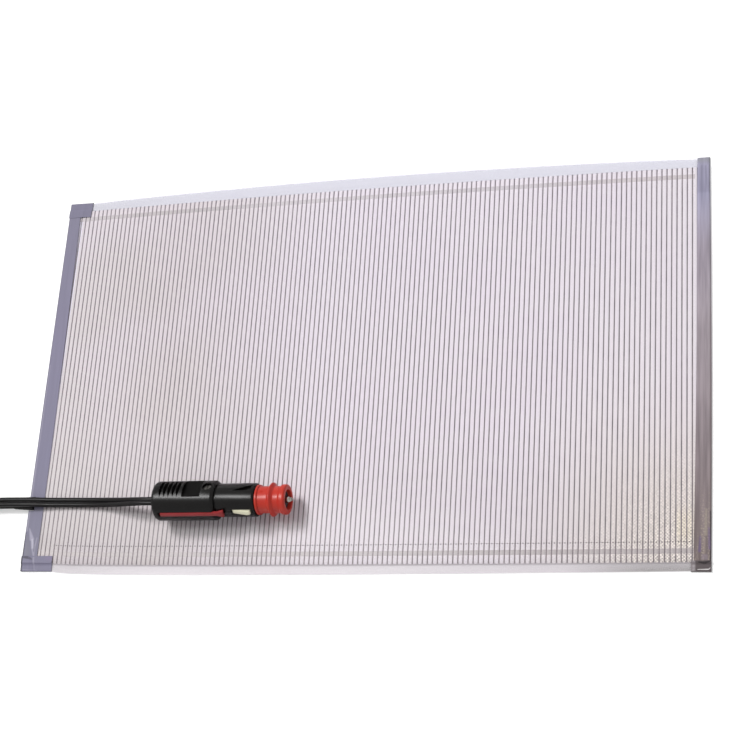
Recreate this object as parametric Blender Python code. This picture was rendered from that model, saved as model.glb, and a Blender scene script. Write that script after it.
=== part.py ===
"""Heated mat with a flat twin lead and a universal vehicle plug.

The mat lies on the floor with its long side along X. Its origin is the bottom centre of the
mat. The plug lies on the mat, its axis along X, built in its own frame: x runs from the rear
of the housing to the tip, z is the screw side and y lies in the seam of the two shells.
All sizes are in metres.
"""
import math

import bmesh
import bpy
from mathutils import Matrix, Vector

for old in list(bpy.data.objects):
    bpy.data.objects.remove(old, do_unlink=True)

# Mat outline
MAT_WIDTH = 0.440
MAT_DEPTH = 0.2618
FRONT_BULGE = 0.0026
FRONT_BULGE_PEAK_SHARE = 0.22
REAR_BULGE = 0.0044
REAR_BULGE_PEAK_SHARE = 0.50
BULGE_FULLNESS_SHARE = 0.8
FRONT_FABRIC_BULGE = 0.0014
REAR_FABRIC_BULGE = 0.0017
FILM_FOLD_INSET = 0.0006
FILM_EASE = 0.0015
EDGE_STEP = 0.020

# Layers of the mat, from the floor up, each one gap above the last
LAYER_GAP = 0.00005
TAPE_THICKNESS = 0.00015
FILM_THICKNESS = 0.00025
FABRIC_THICKNESS = 0.0003
THREAD_THICKNESS = 0.0002
BUSBAR_THICKNESS = 0.0001

# Film, fabric and threads
FILM_LEFT_INSET = 0.0042
FILM_RIGHT_INSET = 0.0012
FRONT_MARGIN = 0.0050
REAR_MARGIN = 0.0058
FILM_STEP = 0.0012
FABRIC_LEFT_INSET = 0.0082
FABRIC_RIGHT_INSET = 0.0060
THREAD_PITCH = 0.00313
THREAD_WIDTH = 0.0007
THREAD_SIDE_MARGIN = 0.0016
BINDER_WIDTH = 0.0006

# Busbars, and the leads in the hollow of the left fold
BUSBAR_WIDTH = 0.0030
FRONT_BUSBAR_INSET = 0.0051
REAR_BUSBAR_INSET = 0.0048
LEAD_DIAMETER = 0.0012
LEAD_INSET = 0.0022
CRIMP_WIDTH = 0.0022
CRIMP_HEIGHT = 0.0008

# End tapes and corner tapes
LEFT_TAPE_WIDTH = 0.0110
RIGHT_TAPE_WIDTH = 0.0098
REAR_LEFT_PATCH_LENGTH = 0.0168
REAR_LEFT_PATCH_WIDTH = 0.0112
FRONT_LEFT_PATCH_LENGTH = 0.0222
FRONT_LEFT_PATCH_WIDTH = 0.0100
FRONT_RIGHT_PATCH_LENGTH = 0.0116
FRONT_RIGHT_PATCH_WIDTH = 0.0063
FOLD_STEPS = 6

# Lead: a flat twin cord
CORD_WIDTH = 0.0064
CORD_THICKNESS = 0.0032
CORD_STEP = 0.0085
FACE_GAP = 0.0003
EXIT_FROM_FRONT = 0.0450
EXIT_HEIGHT = 0.0021
BOOT_INSIDE = 0.0039
BOOT_OUTSIDE = 0.0100
BOOT_WIDTH = 0.0086
BOOT_HEIGHT = 0.0040
BOOT_END_WIDTH = 0.0071
BOOT_END_HEIGHT = 0.0038
BOOT_BEVEL = 0.0012

# Coil of the length that is put away: two layers, in and out again, on edge
COIL_CENTRE_X = -0.3165
COIL_MID_RADIUS = 0.0365
COIL_TURNS = 6.75
COIL_PITCH = 0.0039
COIL_LAYER_PITCH = 0.0070
COIL_POINTS_PER_TURN = 24
TIE_THICKNESS = 0.0004
TIE_WIDTH = 0.0040

# Plug: place on the mat
PLUG_REAR_X = -0.1218
PLUG_FROM_FRONT = 0.0421
PLUG_ROLL_DEGREES = -31.5
SEGMENTS = 32

# Plug: housing shells
BODY_RADIUS = 0.0124
BODY_LENGTH = 0.0419
BODY_REAR_ROUND = 0.0025
BODY_FRONT_CHAMFER = 0.0015
RING_GAP_WIDTH = 0.0011
RING_GAP_RADIUS = 0.0096
NECK_RADIUS = 0.01045
NECK_LENGTH = 0.0249
NECK_EDGE = 0.0009
SEAM_GAP = 0.0003
CAVITY_START = 0.0140
CAVITY_RADIUS = 0.0090
CAVITY_END_WALL = 0.0007
GROOVE_COUNT = 5
GROOVE_PITCH = 0.00293
GROOVE_FIRST = 0.0064
GROOVE_HALF_WIDTH = 0.0012
GROOVE_DEPTH = 0.0022
PAD_START = 0.0212
PAD_LENGTH = 0.0123
PAD_DEPTH = 0.0023
POCKET_START = 0.0535
POCKET_END = 0.0658
POCKET_CORNER = 0.0015
POCKET_NEAR = 0.0023
POCKET_FAR = 0.0028
POCKET_DEPTH = 0.0015
OVERRUN = 0.0020

# Plug: housing screw
SCREW_X = 0.0371
BOSS_RADIUS = 0.0037
SCREW_RADIUS = 0.00145
SCREW_HEAD_RADIUS = 0.0027
SCREW_HEAD_HEIGHT = 0.0015
SCREW_HEAD_SEAT = 0.0095
SCREW_DEPTH = 0.0065
SCREW_SLOT_WIDTH = 0.0007
SCREW_SLOT_DEPTH = 0.0006

# Plug: cord clamp
CLAMP_START = 0.0060
CLAMP_LENGTH = 0.0050
CLAMP_WIDTH = 0.0084
CLAMP_HEIGHT = 0.0024

# Plug: insulating nose
NOSE_RADIUS = 0.0060
NOSE_BORE_RADIUS = 0.0036
NOSE_START = 0.0443
NOSE_FLANGE_RADIUS = 0.0074
NOSE_FLANGE_LENGTH = 0.0020
NOSE_END = 0.0857
NOSE_FRONT_WALL = 0.0028
NOSE_EDGE = 0.0006

# Plug: tip contact, spring and fuse in the nose
TIP_SHAFT_RADIUS = 0.0020
TIP_FLANGE_RADIUS = 0.0033
TIP_FLANGE_LENGTH = 0.0015
TIP_CONE_START = 0.0877
TIP_END = 0.0910
TIP_POINT_RADIUS = 0.0005
SPRING_RADIUS = 0.0024
SPRING_WIRE_RADIUS = 0.0003
SPRING_LENGTH = 0.0067
SPRING_TURNS = 5
SPRING_POINTS_PER_TURN = 10
FUSE_RADIUS = 0.0026
FUSE_CAP_LENGTH = 0.0050
FUSE_LENGTH = 0.0200
GLASS_RADIUS = 0.0024
GLASS_BORE_RADIUS = 0.0019
FUSE_WIRE_RADIUS = 0.0002
SEAT_RADIUS = 0.0032
SEAT_LENGTH = 0.0067
SEAT_TAIL_RADIUS = 0.0010
SEAT_TAIL_LENGTH = 0.0015

# Plug: side contacts and their bridge
CONTACT_WIDTH = 0.0028
CONTACT_THICKNESS = 0.0006
CONTACT_RADIUS = 0.0082
CONTACT_SWEEP = 0.0006
CONTACT_TOOTH_START = 0.0537
CONTACT_TOOTH_END = 0.0656
CONTACT_HEEL_RADIUS = 0.0103
CONTACT_CREST_RADIUS = 0.0123
CONTACT_NOSE_ROUND = 0.0012
CONTACT_SLOT_START = 0.0529
CONTACT_SLOT_END = 0.0667
CONTACT_PIVOT_X = 0.0430
BRIDGE_OUTER_RADIUS = 0.0087
BRIDGE_INNER_RADIUS = 0.0074
BRIDGE_LENGTH = 0.0011
CORE_RADIUS = 0.0009
CORE_SPREAD = 0.0058

# Plug: adapter sleeve
SLEEVE_LENGTH = 0.0194
SLEEVE_RADIUS = 0.0084
SLEEVE_RIM_RADIUS = 0.0094
SLEEVE_REAR_RIM = 0.0015
SLEEVE_FRONT_RIM = 0.0032
SLEEVE_RIDGE_RADIUS = 0.0106
SLEEVE_RIDGE_FROM_REAR = 0.0098
SLEEVE_RIDGE_TOP = 0.0006
SLEEVE_RIDGE_FOOT = 0.0018
SLEEVE_CLEARANCE = 0.00035

# Plug: lock slide in the seam
SLIDE_START = 0.0057
SLIDE_END = 0.0482
SLIDE_HALF_WIDTH = 0.0013
SLIDE_INNER_RADIUS = 0.0109
SLIDE_OUTER_RADIUS = 0.0129
SLIDE_HEAD_LENGTH = 0.0046
SLIDE_HEAD_HALF_WIDTH = 0.0026
SLIDE_TRAVEL = 0.0012


def material(name, colour, roughness, metallic=0.0):
    """One finish as a Principled BSDF."""
    made = bpy.data.materials.new(name)
    made.use_nodes = True
    shader = made.node_tree.nodes["Principled BSDF"]
    shader.inputs["Base Color"].default_value = (*colour, 1.0)
    shader.inputs["Roughness"].default_value = roughness
    shader.inputs["Metallic"].default_value = metallic
    return made


CLEAR_FILM = material("clear_film", (0.74, 0.74, 0.82), 0.25)
WHITE_FABRIC = material("white_fabric", (0.80, 0.74, 0.75), 0.80)
HEATING_YARN = material("heating_yarn", (0.13, 0.11, 0.13), 0.60)
TINNED_COPPER = material("tinned_copper", (0.55, 0.53, 0.52), 0.35, 1.0)
BINDING_TAPE = material("binding_tape", (0.27, 0.25, 0.36), 0.40)
LEAD_INSULATION = material("lead_insulation", (0.05, 0.05, 0.06), 0.50)
BLACK_CORD = material("black_cord", (0.015, 0.015, 0.017), 0.45)
BLACK_PLASTIC = material("black_plastic", (0.020, 0.019, 0.019), 0.40)
RED_PLASTIC = material("red_plastic", (0.52, 0.035, 0.025), 0.30)
CONTACT_METAL = material("contact_metal", (0.62, 0.60, 0.45), 0.35, 1.0)
CHROME = material("chrome", (0.80, 0.80, 0.82), 0.10, 1.0)
GLASS = material("glass", (0.75, 0.80, 0.80), 0.05)


def add_object(name, mesh, finish, parent=None):
    """Link a mesh or curve as a named piece."""
    piece = bpy.data.objects.new(name, mesh)
    bpy.context.scene.collection.objects.link(piece)
    mesh.materials.append(finish)
    piece.parent = parent
    return piece


def close_mesh(name, shape, finish, parent=None, smooth_angle=None):
    """Turn a closed bmesh into a piece whose faces point out."""
    bmesh.ops.recalc_face_normals(shape, faces=shape.faces)
    mesh = bpy.data.meshes.new(name)
    shape.to_mesh(mesh)
    shape.free()
    if smooth_angle is not None:
        mesh.shade_smooth()
        mesh.set_sharp_from_angle(angle=smooth_angle)
    return add_object(name, mesh, finish, parent)


def prism(name, outline, low, high, along, finish, parent=None):
    """Extrude a plane outline from low to high along x, y or z.

    The outline's two coordinates are the other two axes in x, y, z order.
    """
    order = {"x": (2, 0, 1), "y": (0, 2, 1), "z": (0, 1, 2)}[along]
    shape = bmesh.new()
    rings = []
    for level in (low, high):
        ring = []
        for first, second in outline:
            values = (first, second, level)
            ring.append(shape.verts.new([values[i] for i in order]))
        rings.append(ring)
    shape.faces.new(rings[0])
    shape.faces.new(rings[1])
    count = len(outline)
    for i in range(count):
        j = (i + 1) % count
        shape.faces.new((rings[0][i], rings[0][j], rings[1][j], rings[1][i]))
    return close_mesh(name, shape, finish, parent)


def box(name, low, high, finish, parent=None):
    """A plain block between two corners."""
    outline = [(low[0], low[1]), (high[0], low[1]), (high[0], high[1]), (low[0], high[1])]
    return prism(name, outline, low[2], high[2], "z", finish, parent)


def turned(name, profile, finish, parent=None, segments=SEGMENTS, bored=False):
    """Turn a profile of (x, radius) about the x axis.

    A solid profile starts and ends at radius zero; a bored one is a closed loop.
    """
    shape = bmesh.new()
    rings = []
    for x, radius in profile:
        if radius == 0:
            rings.append([shape.verts.new((x, 0, 0))])
            continue
        ring = []
        for i in range(segments):
            angle = math.tau * i / segments
            ring.append(shape.verts.new((x, radius * math.cos(angle), radius * math.sin(angle))))
        rings.append(ring)
    if bored:
        pairs = [(rings[i], rings[(i + 1) % len(rings)]) for i in range(len(rings))]
    else:
        pairs = list(zip(rings, rings[1:]))
    for first, second in pairs:
        for i in range(segments):
            j = (i + 1) % segments
            corners = [first[i % len(first)], first[j % len(first)],
                       second[j % len(second)], second[i % len(second)]]
            unique = list(dict.fromkeys(corners))
            if len(unique) > 2:
                shape.faces.new(unique)
    return close_mesh(name, shape, finish, parent, math.radians(35))


def arc(centre, radius, start_degrees, end_degrees, steps):
    """Points of a circular arc in a plane."""
    points = []
    for i in range(steps + 1):
        angle = math.radians(start_degrees + (end_degrees - start_degrees) * i / steps)
        points.append((centre[0] + radius * math.cos(angle), centre[1] + radius * math.sin(angle)))
    return points


def cut(piece, cutter, operation="DIFFERENCE"):
    """Cut a piece with another shape, which is then only a guide."""
    step = piece.modifiers.new(cutter.name, "BOOLEAN")
    step.operation = operation
    step.object = cutter
    step.solver = "EXACT"
    cutter.hide_render = True
    cutter.display_type = "WIRE"


def set_pivot(piece, pivot):
    """Move a piece's origin onto its joint, leaving its shape in place."""
    piece.data.transform(Matrix.Translation(-Vector(pivot)))
    piece.location = pivot


# Heights of the layers
MAT_THICKNESS = (6 * LAYER_GAP + 4 * TAPE_THICKNESS + 2 * FILM_THICKNESS + FABRIC_THICKNESS
                 + THREAD_THICKNESS + BUSBAR_THICKNESS + 2 * LAYER_GAP)
TAPE_LOW = TAPE_THICKNESS + LAYER_GAP
BACK_FILM_Z = TAPE_LOW + TAPE_THICKNESS + LAYER_GAP
FABRIC_Z = BACK_FILM_Z + FILM_THICKNESS + LAYER_GAP
THREAD_Z = FABRIC_Z + FABRIC_THICKNESS + LAYER_GAP
BUSBAR_Z = THREAD_Z + THREAD_THICKNESS + LAYER_GAP
COVER_FILM_Z = BUSBAR_Z + BUSBAR_THICKNESS + LAYER_GAP
TAPE_HIGH = COVER_FILM_Z + FILM_THICKNESS + LAYER_GAP + TAPE_THICKNESS

LEFT = -MAT_WIDTH / 2
RIGHT = MAT_WIDTH / 2


def columns(start, end):
    """Evenly spaced places along the mat's long side."""
    count = max(1, round((end - start) / EDGE_STEP))
    return [start + (end - start) * i / count for i in range(count + 1)]


# Where the free edge of the film starts and ends, in front and at the rear
FRONT_FREE = (LEFT + FRONT_LEFT_PATCH_LENGTH, RIGHT - FRONT_RIGHT_PATCH_LENGTH)
REAR_FREE = (LEFT + REAR_LEFT_PATCH_LENGTH, RIGHT - RIGHT_TAPE_WIDTH)

# The film is straight between these places, and comes out of each fold over a short length
FILM_COLUMNS = sorted(
    [LEFT + FILM_LEFT_INSET, RIGHT - FILM_RIGHT_INSET, REAR_FREE[0], REAR_FREE[0] + FILM_EASE,
     REAR_FREE[1] - FILM_EASE, REAR_FREE[1], FRONT_FREE[0], FRONT_FREE[1]]
    + columns(FRONT_FREE[0] + FILM_EASE, FRONT_FREE[1] - FILM_EASE))


def hump(x, free, peak_share):
    """A full hump over the free edge: 0 at both ends and 1 at the peak."""
    share = min(max((x - free[0]) / (free[1] - free[0]), 0.0), 1.0)
    power = math.log(0.5) / math.log(peak_share)
    return max(math.sin(math.pi * share ** power), 0.0) ** BULGE_FULLNESS_SHARE


def reach_between(x, free, bulge, peak_share):
    """How far the film's edge stands out past the corner line, straight between the columns."""
    pairs = zip(FILM_COLUMNS, FILM_COLUMNS[1:])
    low, high = next((pair for pair in pairs if x <= pair[1]), FILM_COLUMNS[-2:])
    share = min(max((x - low) / (high - low), 0.0), 1.0)
    out = hump(low, free, peak_share) * (1 - share) + hump(high, free, peak_share) * share
    return bulge * out - FILM_FOLD_INSET


def front_reach(x):
    """How far the front edge of the film stands out past the corner line."""
    return reach_between(x, FRONT_FREE, FRONT_BULGE, FRONT_BULGE_PEAK_SHARE)


def rear_reach(x):
    """How far the rear edge of the film stands out past the corner line."""
    return reach_between(x, REAR_FREE, REAR_BULGE, REAR_BULGE_PEAK_SHARE)


FRONT_MOST = max(front_reach(x) for x in FILM_COLUMNS)
REAR_MOST = max(rear_reach(x) for x in FILM_COLUMNS)
FRONT = -(MAT_DEPTH + REAR_MOST - FRONT_MOST) / 2
REAR = FRONT + MAT_DEPTH


def front_edge(x, inset=0.0):
    """Y of a line that follows the front edge of the film."""
    return FRONT - front_reach(x) + inset


def rear_edge(x, inset=0.0):
    """Y of a line that follows the rear edge of the film."""
    return REAR + rear_reach(x) - inset


def front_fabric(x, inset):
    """Y of a line that follows the front edge of the fabric, which bulges less than the film."""
    return FRONT - reach_between(x, FRONT_FREE, FRONT_FABRIC_BULGE, FRONT_BULGE_PEAK_SHARE) + inset


def rear_fabric(x, inset):
    """Y of a line that follows the rear edge of the fabric, which bulges less than the film."""
    return REAR + reach_between(x, REAR_FREE, REAR_FABRIC_BULGE, REAR_BULGE_PEAK_SHARE) - inset


def sheet(name, places, rows, thickness, finish):
    """A thin layer over some columns, each row a line (edge, inset, height of its underside)."""
    shape = bmesh.new()
    grid = []
    for x in places:
        lower = [shape.verts.new((x, edge(x, inset), z)) for edge, inset, z in rows]
        upper = [shape.verts.new((x, edge(x, inset), z + thickness)) for edge, inset, z in rows]
        grid.append((lower, upper))
    last = len(rows) - 1
    for (low_a, up_a), (low_b, up_b) in zip(grid, grid[1:]):
        for r in range(last):
            shape.faces.new((low_a[r], low_b[r], low_b[r + 1], low_a[r + 1]))
            shape.faces.new((up_a[r], up_a[r + 1], up_b[r + 1], up_b[r]))
        for r in (0, last):
            shape.faces.new((low_a[r], up_a[r], up_b[r], low_b[r]))
    for lower, upper in (grid[0], grid[-1]):
        for r in range(last):
            shape.faces.new((lower[r], lower[r + 1], upper[r + 1], upper[r]))
    return close_mesh(name, shape, finish)


def build_films():
    """Back film, and the cover film that steps down to it along the plain margins."""
    rows = [(front_edge, 0.0, BACK_FILM_Z), (rear_edge, 0.0, BACK_FILM_Z)]
    sheet("back_film", FILM_COLUMNS, rows, FILM_THICKNESS, CLEAR_FILM)
    sealed_z = BACK_FILM_Z + FILM_THICKNESS + LAYER_GAP
    rows = [
        (front_edge, 0.0, sealed_z),
        (front_fabric, FRONT_MARGIN - FILM_STEP - LAYER_GAP, sealed_z),
        (front_fabric, FRONT_MARGIN - LAYER_GAP, COVER_FILM_Z),
        (rear_fabric, REAR_MARGIN - LAYER_GAP, COVER_FILM_Z),
        (rear_fabric, REAR_MARGIN - FILM_STEP - LAYER_GAP, sealed_z),
        (rear_edge, 0.0, sealed_z),
    ]
    sheet("cover_film", FILM_COLUMNS, rows, FILM_THICKNESS, CLEAR_FILM)


def build_fabric():
    """The woven carrier that holds the heating threads."""
    places = columns(LEFT + FABRIC_LEFT_INSET, RIGHT - FABRIC_RIGHT_INSET)
    rows = [(front_fabric, FRONT_MARGIN, FABRIC_Z), (rear_fabric, REAR_MARGIN, FABRIC_Z)]
    sheet("carrier_fabric", places, rows, FABRIC_THICKNESS, WHITE_FABRIC)


def build_threads():
    """The heating threads, bound together by a cross thread at each end: one flat net."""
    start = LEFT + FABRIC_LEFT_INSET + THREAD_SIDE_MARGIN
    end = RIGHT - FABRIC_RIGHT_INSET - THREAD_SIDE_MARGIN
    count = int((end - start) / THREAD_PITCH) + 1
    first = (start + end - (count - 1) * THREAD_PITCH) / 2
    shape = bmesh.new()
    lines = []
    for i in range(count):
        centre = first + i * THREAD_PITCH
        for x in (centre - THREAD_WIDTH / 2, centre + THREAD_WIDTH / 2):
            places = (front_fabric(centre, FRONT_MARGIN), front_fabric(centre, FRONT_MARGIN + BINDER_WIDTH),
                      rear_fabric(centre, REAR_MARGIN + BINDER_WIDTH), rear_fabric(centre, REAR_MARGIN))
            lower = [shape.verts.new((x, y, THREAD_Z)) for y in places]
            upper = [shape.verts.new((x, y, THREAD_Z + THREAD_THICKNESS)) for y in places]
            lines.append((lower, upper))
    for i, ((low_a, up_a), (low_b, up_b)) in enumerate(zip(lines, lines[1:])):
        on_thread = i % 2 == 0
        for r in range(3):
            if on_thread or r != 1:
                shape.faces.new((low_a[r], low_b[r], low_b[r + 1], low_a[r + 1]))
                shape.faces.new((up_a[r], up_a[r + 1], up_b[r + 1], up_b[r]))
        for r in ((0, 3) if on_thread else (0, 1, 2, 3)):
            shape.faces.new((low_a[r], up_a[r], up_b[r], low_b[r]))
    for i, (lower, upper) in enumerate(lines):
        spans = (0, 1, 2) if i in (0, len(lines) - 1) else (1,)
        for r in spans:
            shape.faces.new((lower[r], lower[r + 1], upper[r + 1], upper[r]))
    close_mesh("heating_threads", shape, HEATING_YARN)


def build_busbars():
    """Two flat bars across the threads, with their left ends out in the fold's hollow."""
    places = columns(LEFT + LEAD_INSET - CRIMP_WIDTH / 2, RIGHT - FABRIC_RIGHT_INSET - THREAD_SIDE_MARGIN)
    front_inset = FRONT_MARGIN + FRONT_BUSBAR_INSET
    rear_inset = REAR_MARGIN + REAR_BUSBAR_INSET
    sheet("front_busbar", places, [(front_fabric, front_inset, BUSBAR_Z),
                                   (front_fabric, front_inset + BUSBAR_WIDTH, BUSBAR_Z)],
          BUSBAR_THICKNESS, TINNED_COPPER)
    sheet("rear_busbar", places, [(rear_fabric, rear_inset + BUSBAR_WIDTH, BUSBAR_Z),
                                  (rear_fabric, rear_inset, BUSBAR_Z)],
          BUSBAR_THICKNESS, TINNED_COPPER)
    x = LEFT + LEAD_INSET
    return front_fabric(x, front_inset + BUSBAR_WIDTH / 2), rear_fabric(x, rear_inset + BUSBAR_WIDTH / 2)


def fold_outline(edge, inward, width, low, high):
    """Section of a tape folded round an edge: two legs and a round back.

    edge is the outside of the fold and inward is +1 or -1 towards the mat.
    """
    middle = (low + high) / 2
    outer = (high - low) / 2
    inner = outer - TAPE_THICKNESS
    points = []
    for radius, start, end in ((outer, 90, 270), (inner, 270, 90)):
        ring = [(edge + inward * (outer + x), middle + z)
                for x, z in arc((0, 0), radius, start, end, FOLD_STEPS)]
        tip = edge + inward * width
        points += [(tip, ring[0][1])] + ring + [(tip, ring[-1][1])]
    return points


def build_tapes(exit_y):
    """End tapes round the short edges and tapes folded over three corners."""
    fold_depth = MAT_THICKNESS / 2
    left = prism("left_end_tape", fold_outline(LEFT, 1, LEFT_TAPE_WIDTH, TAPE_LOW, TAPE_HIGH),
                 FRONT + fold_depth, REAR - fold_depth, "y", BINDING_TAPE)
    notch_half = BOOT_WIDTH / 2 + FACE_GAP
    notch = box("boot_notch_cutter", (LEFT - OVERRUN, exit_y - notch_half, -OVERRUN),
                (LEFT + BOOT_INSIDE + FACE_GAP, exit_y + notch_half, MAT_THICKNESS + OVERRUN), BINDING_TAPE)
    cut(left, notch)
    prism("right_end_tape", fold_outline(RIGHT, -1, RIGHT_TAPE_WIDTH, TAPE_LOW, TAPE_HIGH),
          FRONT + fold_depth, REAR, "y", BINDING_TAPE)
    prism("rear_left_corner_tape", fold_outline(REAR, -1, REAR_LEFT_PATCH_WIDTH, 0.0, MAT_THICKNESS),
          LEFT, LEFT + REAR_LEFT_PATCH_LENGTH, "x", BINDING_TAPE)
    prism("front_left_corner_tape", fold_outline(FRONT, 1, FRONT_LEFT_PATCH_WIDTH, 0.0, MAT_THICKNESS),
          LEFT, LEFT + FRONT_LEFT_PATCH_LENGTH, "x", BINDING_TAPE)
    prism("front_right_corner_tape", fold_outline(FRONT, 1, FRONT_RIGHT_PATCH_WIDTH, 0.0, MAT_THICKNESS),
          RIGHT - FRONT_RIGHT_PATCH_LENGTH, RIGHT, "x", BINDING_TAPE)


def build_leads(exit_y, front_y, rear_y):
    """Single leads from the cord boot to a crimp under each busbar's left end."""
    x = LEFT + LEAD_INSET
    z = (TAPE_LOW + TAPE_HIGH) / 2
    crimp_z = BUSBAR_Z - LAYER_GAP - CRIMP_HEIGHT
    for side, name, bar_y in ((-1, "front", front_y), (1, "rear", rear_y)):
        start = exit_y + side * (BOOT_WIDTH / 2 + FACE_GAP)
        end = bar_y - side * (BUSBAR_WIDTH / 2 + FACE_GAP)
        low, high = sorted((start, end))
        prism(f"{name}_lead", arc((x, z), LEAD_DIAMETER / 2, 0, 315, 7), low, high, "y", LEAD_INSULATION)
        box(f"{name}_crimp", (x - CRIMP_WIDTH / 2, bar_y - BUSBAR_WIDTH / 2, crimp_z),
            (x + CRIMP_WIDTH / 2, bar_y + BUSBAR_WIDTH / 2, crimp_z + CRIMP_HEIGHT), TINNED_COPPER)


def rounded_section(width, height, bevel):
    """Eight corners of a section with bevelled edges, as (across, up) from its centre."""
    across, up = width / 2, height / 2
    return [(across, up - bevel), (across - bevel, up), (bevel - across, up), (-across, up - bevel),
            (-across, bevel - up), (bevel - across, -up), (across - bevel, -up), (across, bevel - up)]


def build_boot(exit_y):
    """Tapered strain relief that the cord leaves the mat through."""
    inner_x = LEFT + BOOT_INSIDE
    outer_x = LEFT - BOOT_OUTSIDE
    sections = ((inner_x, BOOT_WIDTH, BOOT_HEIGHT), (LEFT, BOOT_WIDTH, BOOT_HEIGHT),
                (outer_x, BOOT_END_WIDTH, BOOT_END_HEIGHT))
    shape = bmesh.new()
    rings = []
    for x, width, height in sections:
        section = rounded_section(width, height, BOOT_BEVEL)
        rings.append([shape.verts.new((x, exit_y + across, EXIT_HEIGHT + up)) for across, up in section])
    for first, second in zip(rings, rings[1:]):
        for i in range(len(first)):
            j = (i + 1) % len(first)
            shape.faces.new((first[i], first[j], second[j], second[i]))
    shape.faces.new(rings[0])
    shape.faces.new(rings[-1])
    close_mesh("cord_boot", shape, BLACK_CORD)


def flat_cord(name, points, rolls):
    """A flat twin cord as a curve: roll 0 stands it on edge, 90 degrees lays it flat."""
    curve = bpy.data.curves.new(name, "CURVE")
    curve.dimensions = "3D"
    curve.twist_mode = "Z_UP"
    curve.bevel_depth = CORD_THICKNESS / 2
    curve.extrude = (CORD_WIDTH - CORD_THICKNESS) / 2
    curve.bevel_resolution = 1
    curve.use_fill_caps = True
    spline = curve.splines.new("POLY")
    spline.points.add(len(points) - 1)
    for place, point, roll in zip(spline.points, points, rolls):
        place.co = (*point, 1.0)
        place.tilt = math.radians(roll)
    return add_object(name, curve, BLACK_CORD)


def smooth_route(route):
    """Evenly spaced points and rolls read from a smooth curve through a route's own points."""
    knots = [Vector((*point, roll)) for point, roll in route]
    ends = [knots[0] * 2 - knots[1]] + knots + [knots[-1] * 2 - knots[-2]]
    fine = []
    samples = 24
    for a, b, c, d in zip(ends, ends[1:], ends[2:], ends[3:]):
        for i in range(samples):
            t = i / samples
            fine.append(0.5 * (2 * b + (c - a) * t + (2 * a - 5 * b + 4 * c - d) * t ** 2
                               + (3 * b - a - 3 * c + d) * t ** 3))
    fine.append(knots[-1])
    along = [0.0]
    for a, b in zip(fine, fine[1:]):
        along.append(along[-1] + (b.xyz - a.xyz).length)
    count = max(2, round(along[-1] / CORD_STEP))
    points, rolls = [], []
    index = 0
    for i in range(count + 1):
        target = along[-1] * i / count
        while index < len(along) - 2 and along[index + 1] < target:
            index += 1
        span = max(along[index + 1] - along[index], 1e-9)
        value = fine[index].lerp(fine[index + 1], (target - along[index]) / span)
        points.append(value.xyz)
        rolls.append(value.w)
    return points, rolls, along[-1]


def coil_points(centre, low_z):
    """Centreline of the coil: in along the lower layer, up, and out along the upper one."""
    total = COIL_TURNS * math.tau
    inner = COIL_MID_RADIUS - COIL_PITCH * COIL_TURNS / 4
    steps = round(COIL_TURNS * COIL_POINTS_PER_TURN)
    points = []
    for i in range(steps + 1):
        turn = total * i / steps - total / 2
        radius = inner + COIL_PITCH * abs(turn) / math.tau
        climb = min(max(turn / math.pi + 0.5, 0.0), 1.0)
        rise = climb * climb * (3 - 2 * climb) * COIL_LAYER_PITCH
        angle = math.pi / 2 + turn + total / 2
        points.append(Vector((centre[0] + radius * math.cos(angle),
                              centre[1] + radius * math.sin(angle), low_z + rise)))
    return points


def least_coil_gap(centre, points):
    """Least gap between turns, of upright flat sections in one radial plane."""
    straight = CORD_WIDTH - CORD_THICKNESS
    least = None
    for i, first in enumerate(points):
        for second in points[i + COIL_POINTS_PER_TURN - 1:i + 2 * COIL_POINTS_PER_TURN + 2]:
            flat = (second.xy - first.xy).length
            radial = abs((second.xy - centre).length - (first.xy - centre).length)
            if flat > radial + CORD_THICKNESS:
                continue
            upright = max(0.0, abs(second.z - first.z) - straight)
            gap = math.hypot(radial, upright) - CORD_THICKNESS
            least = gap if least is None else min(least, gap)
    return least


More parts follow.
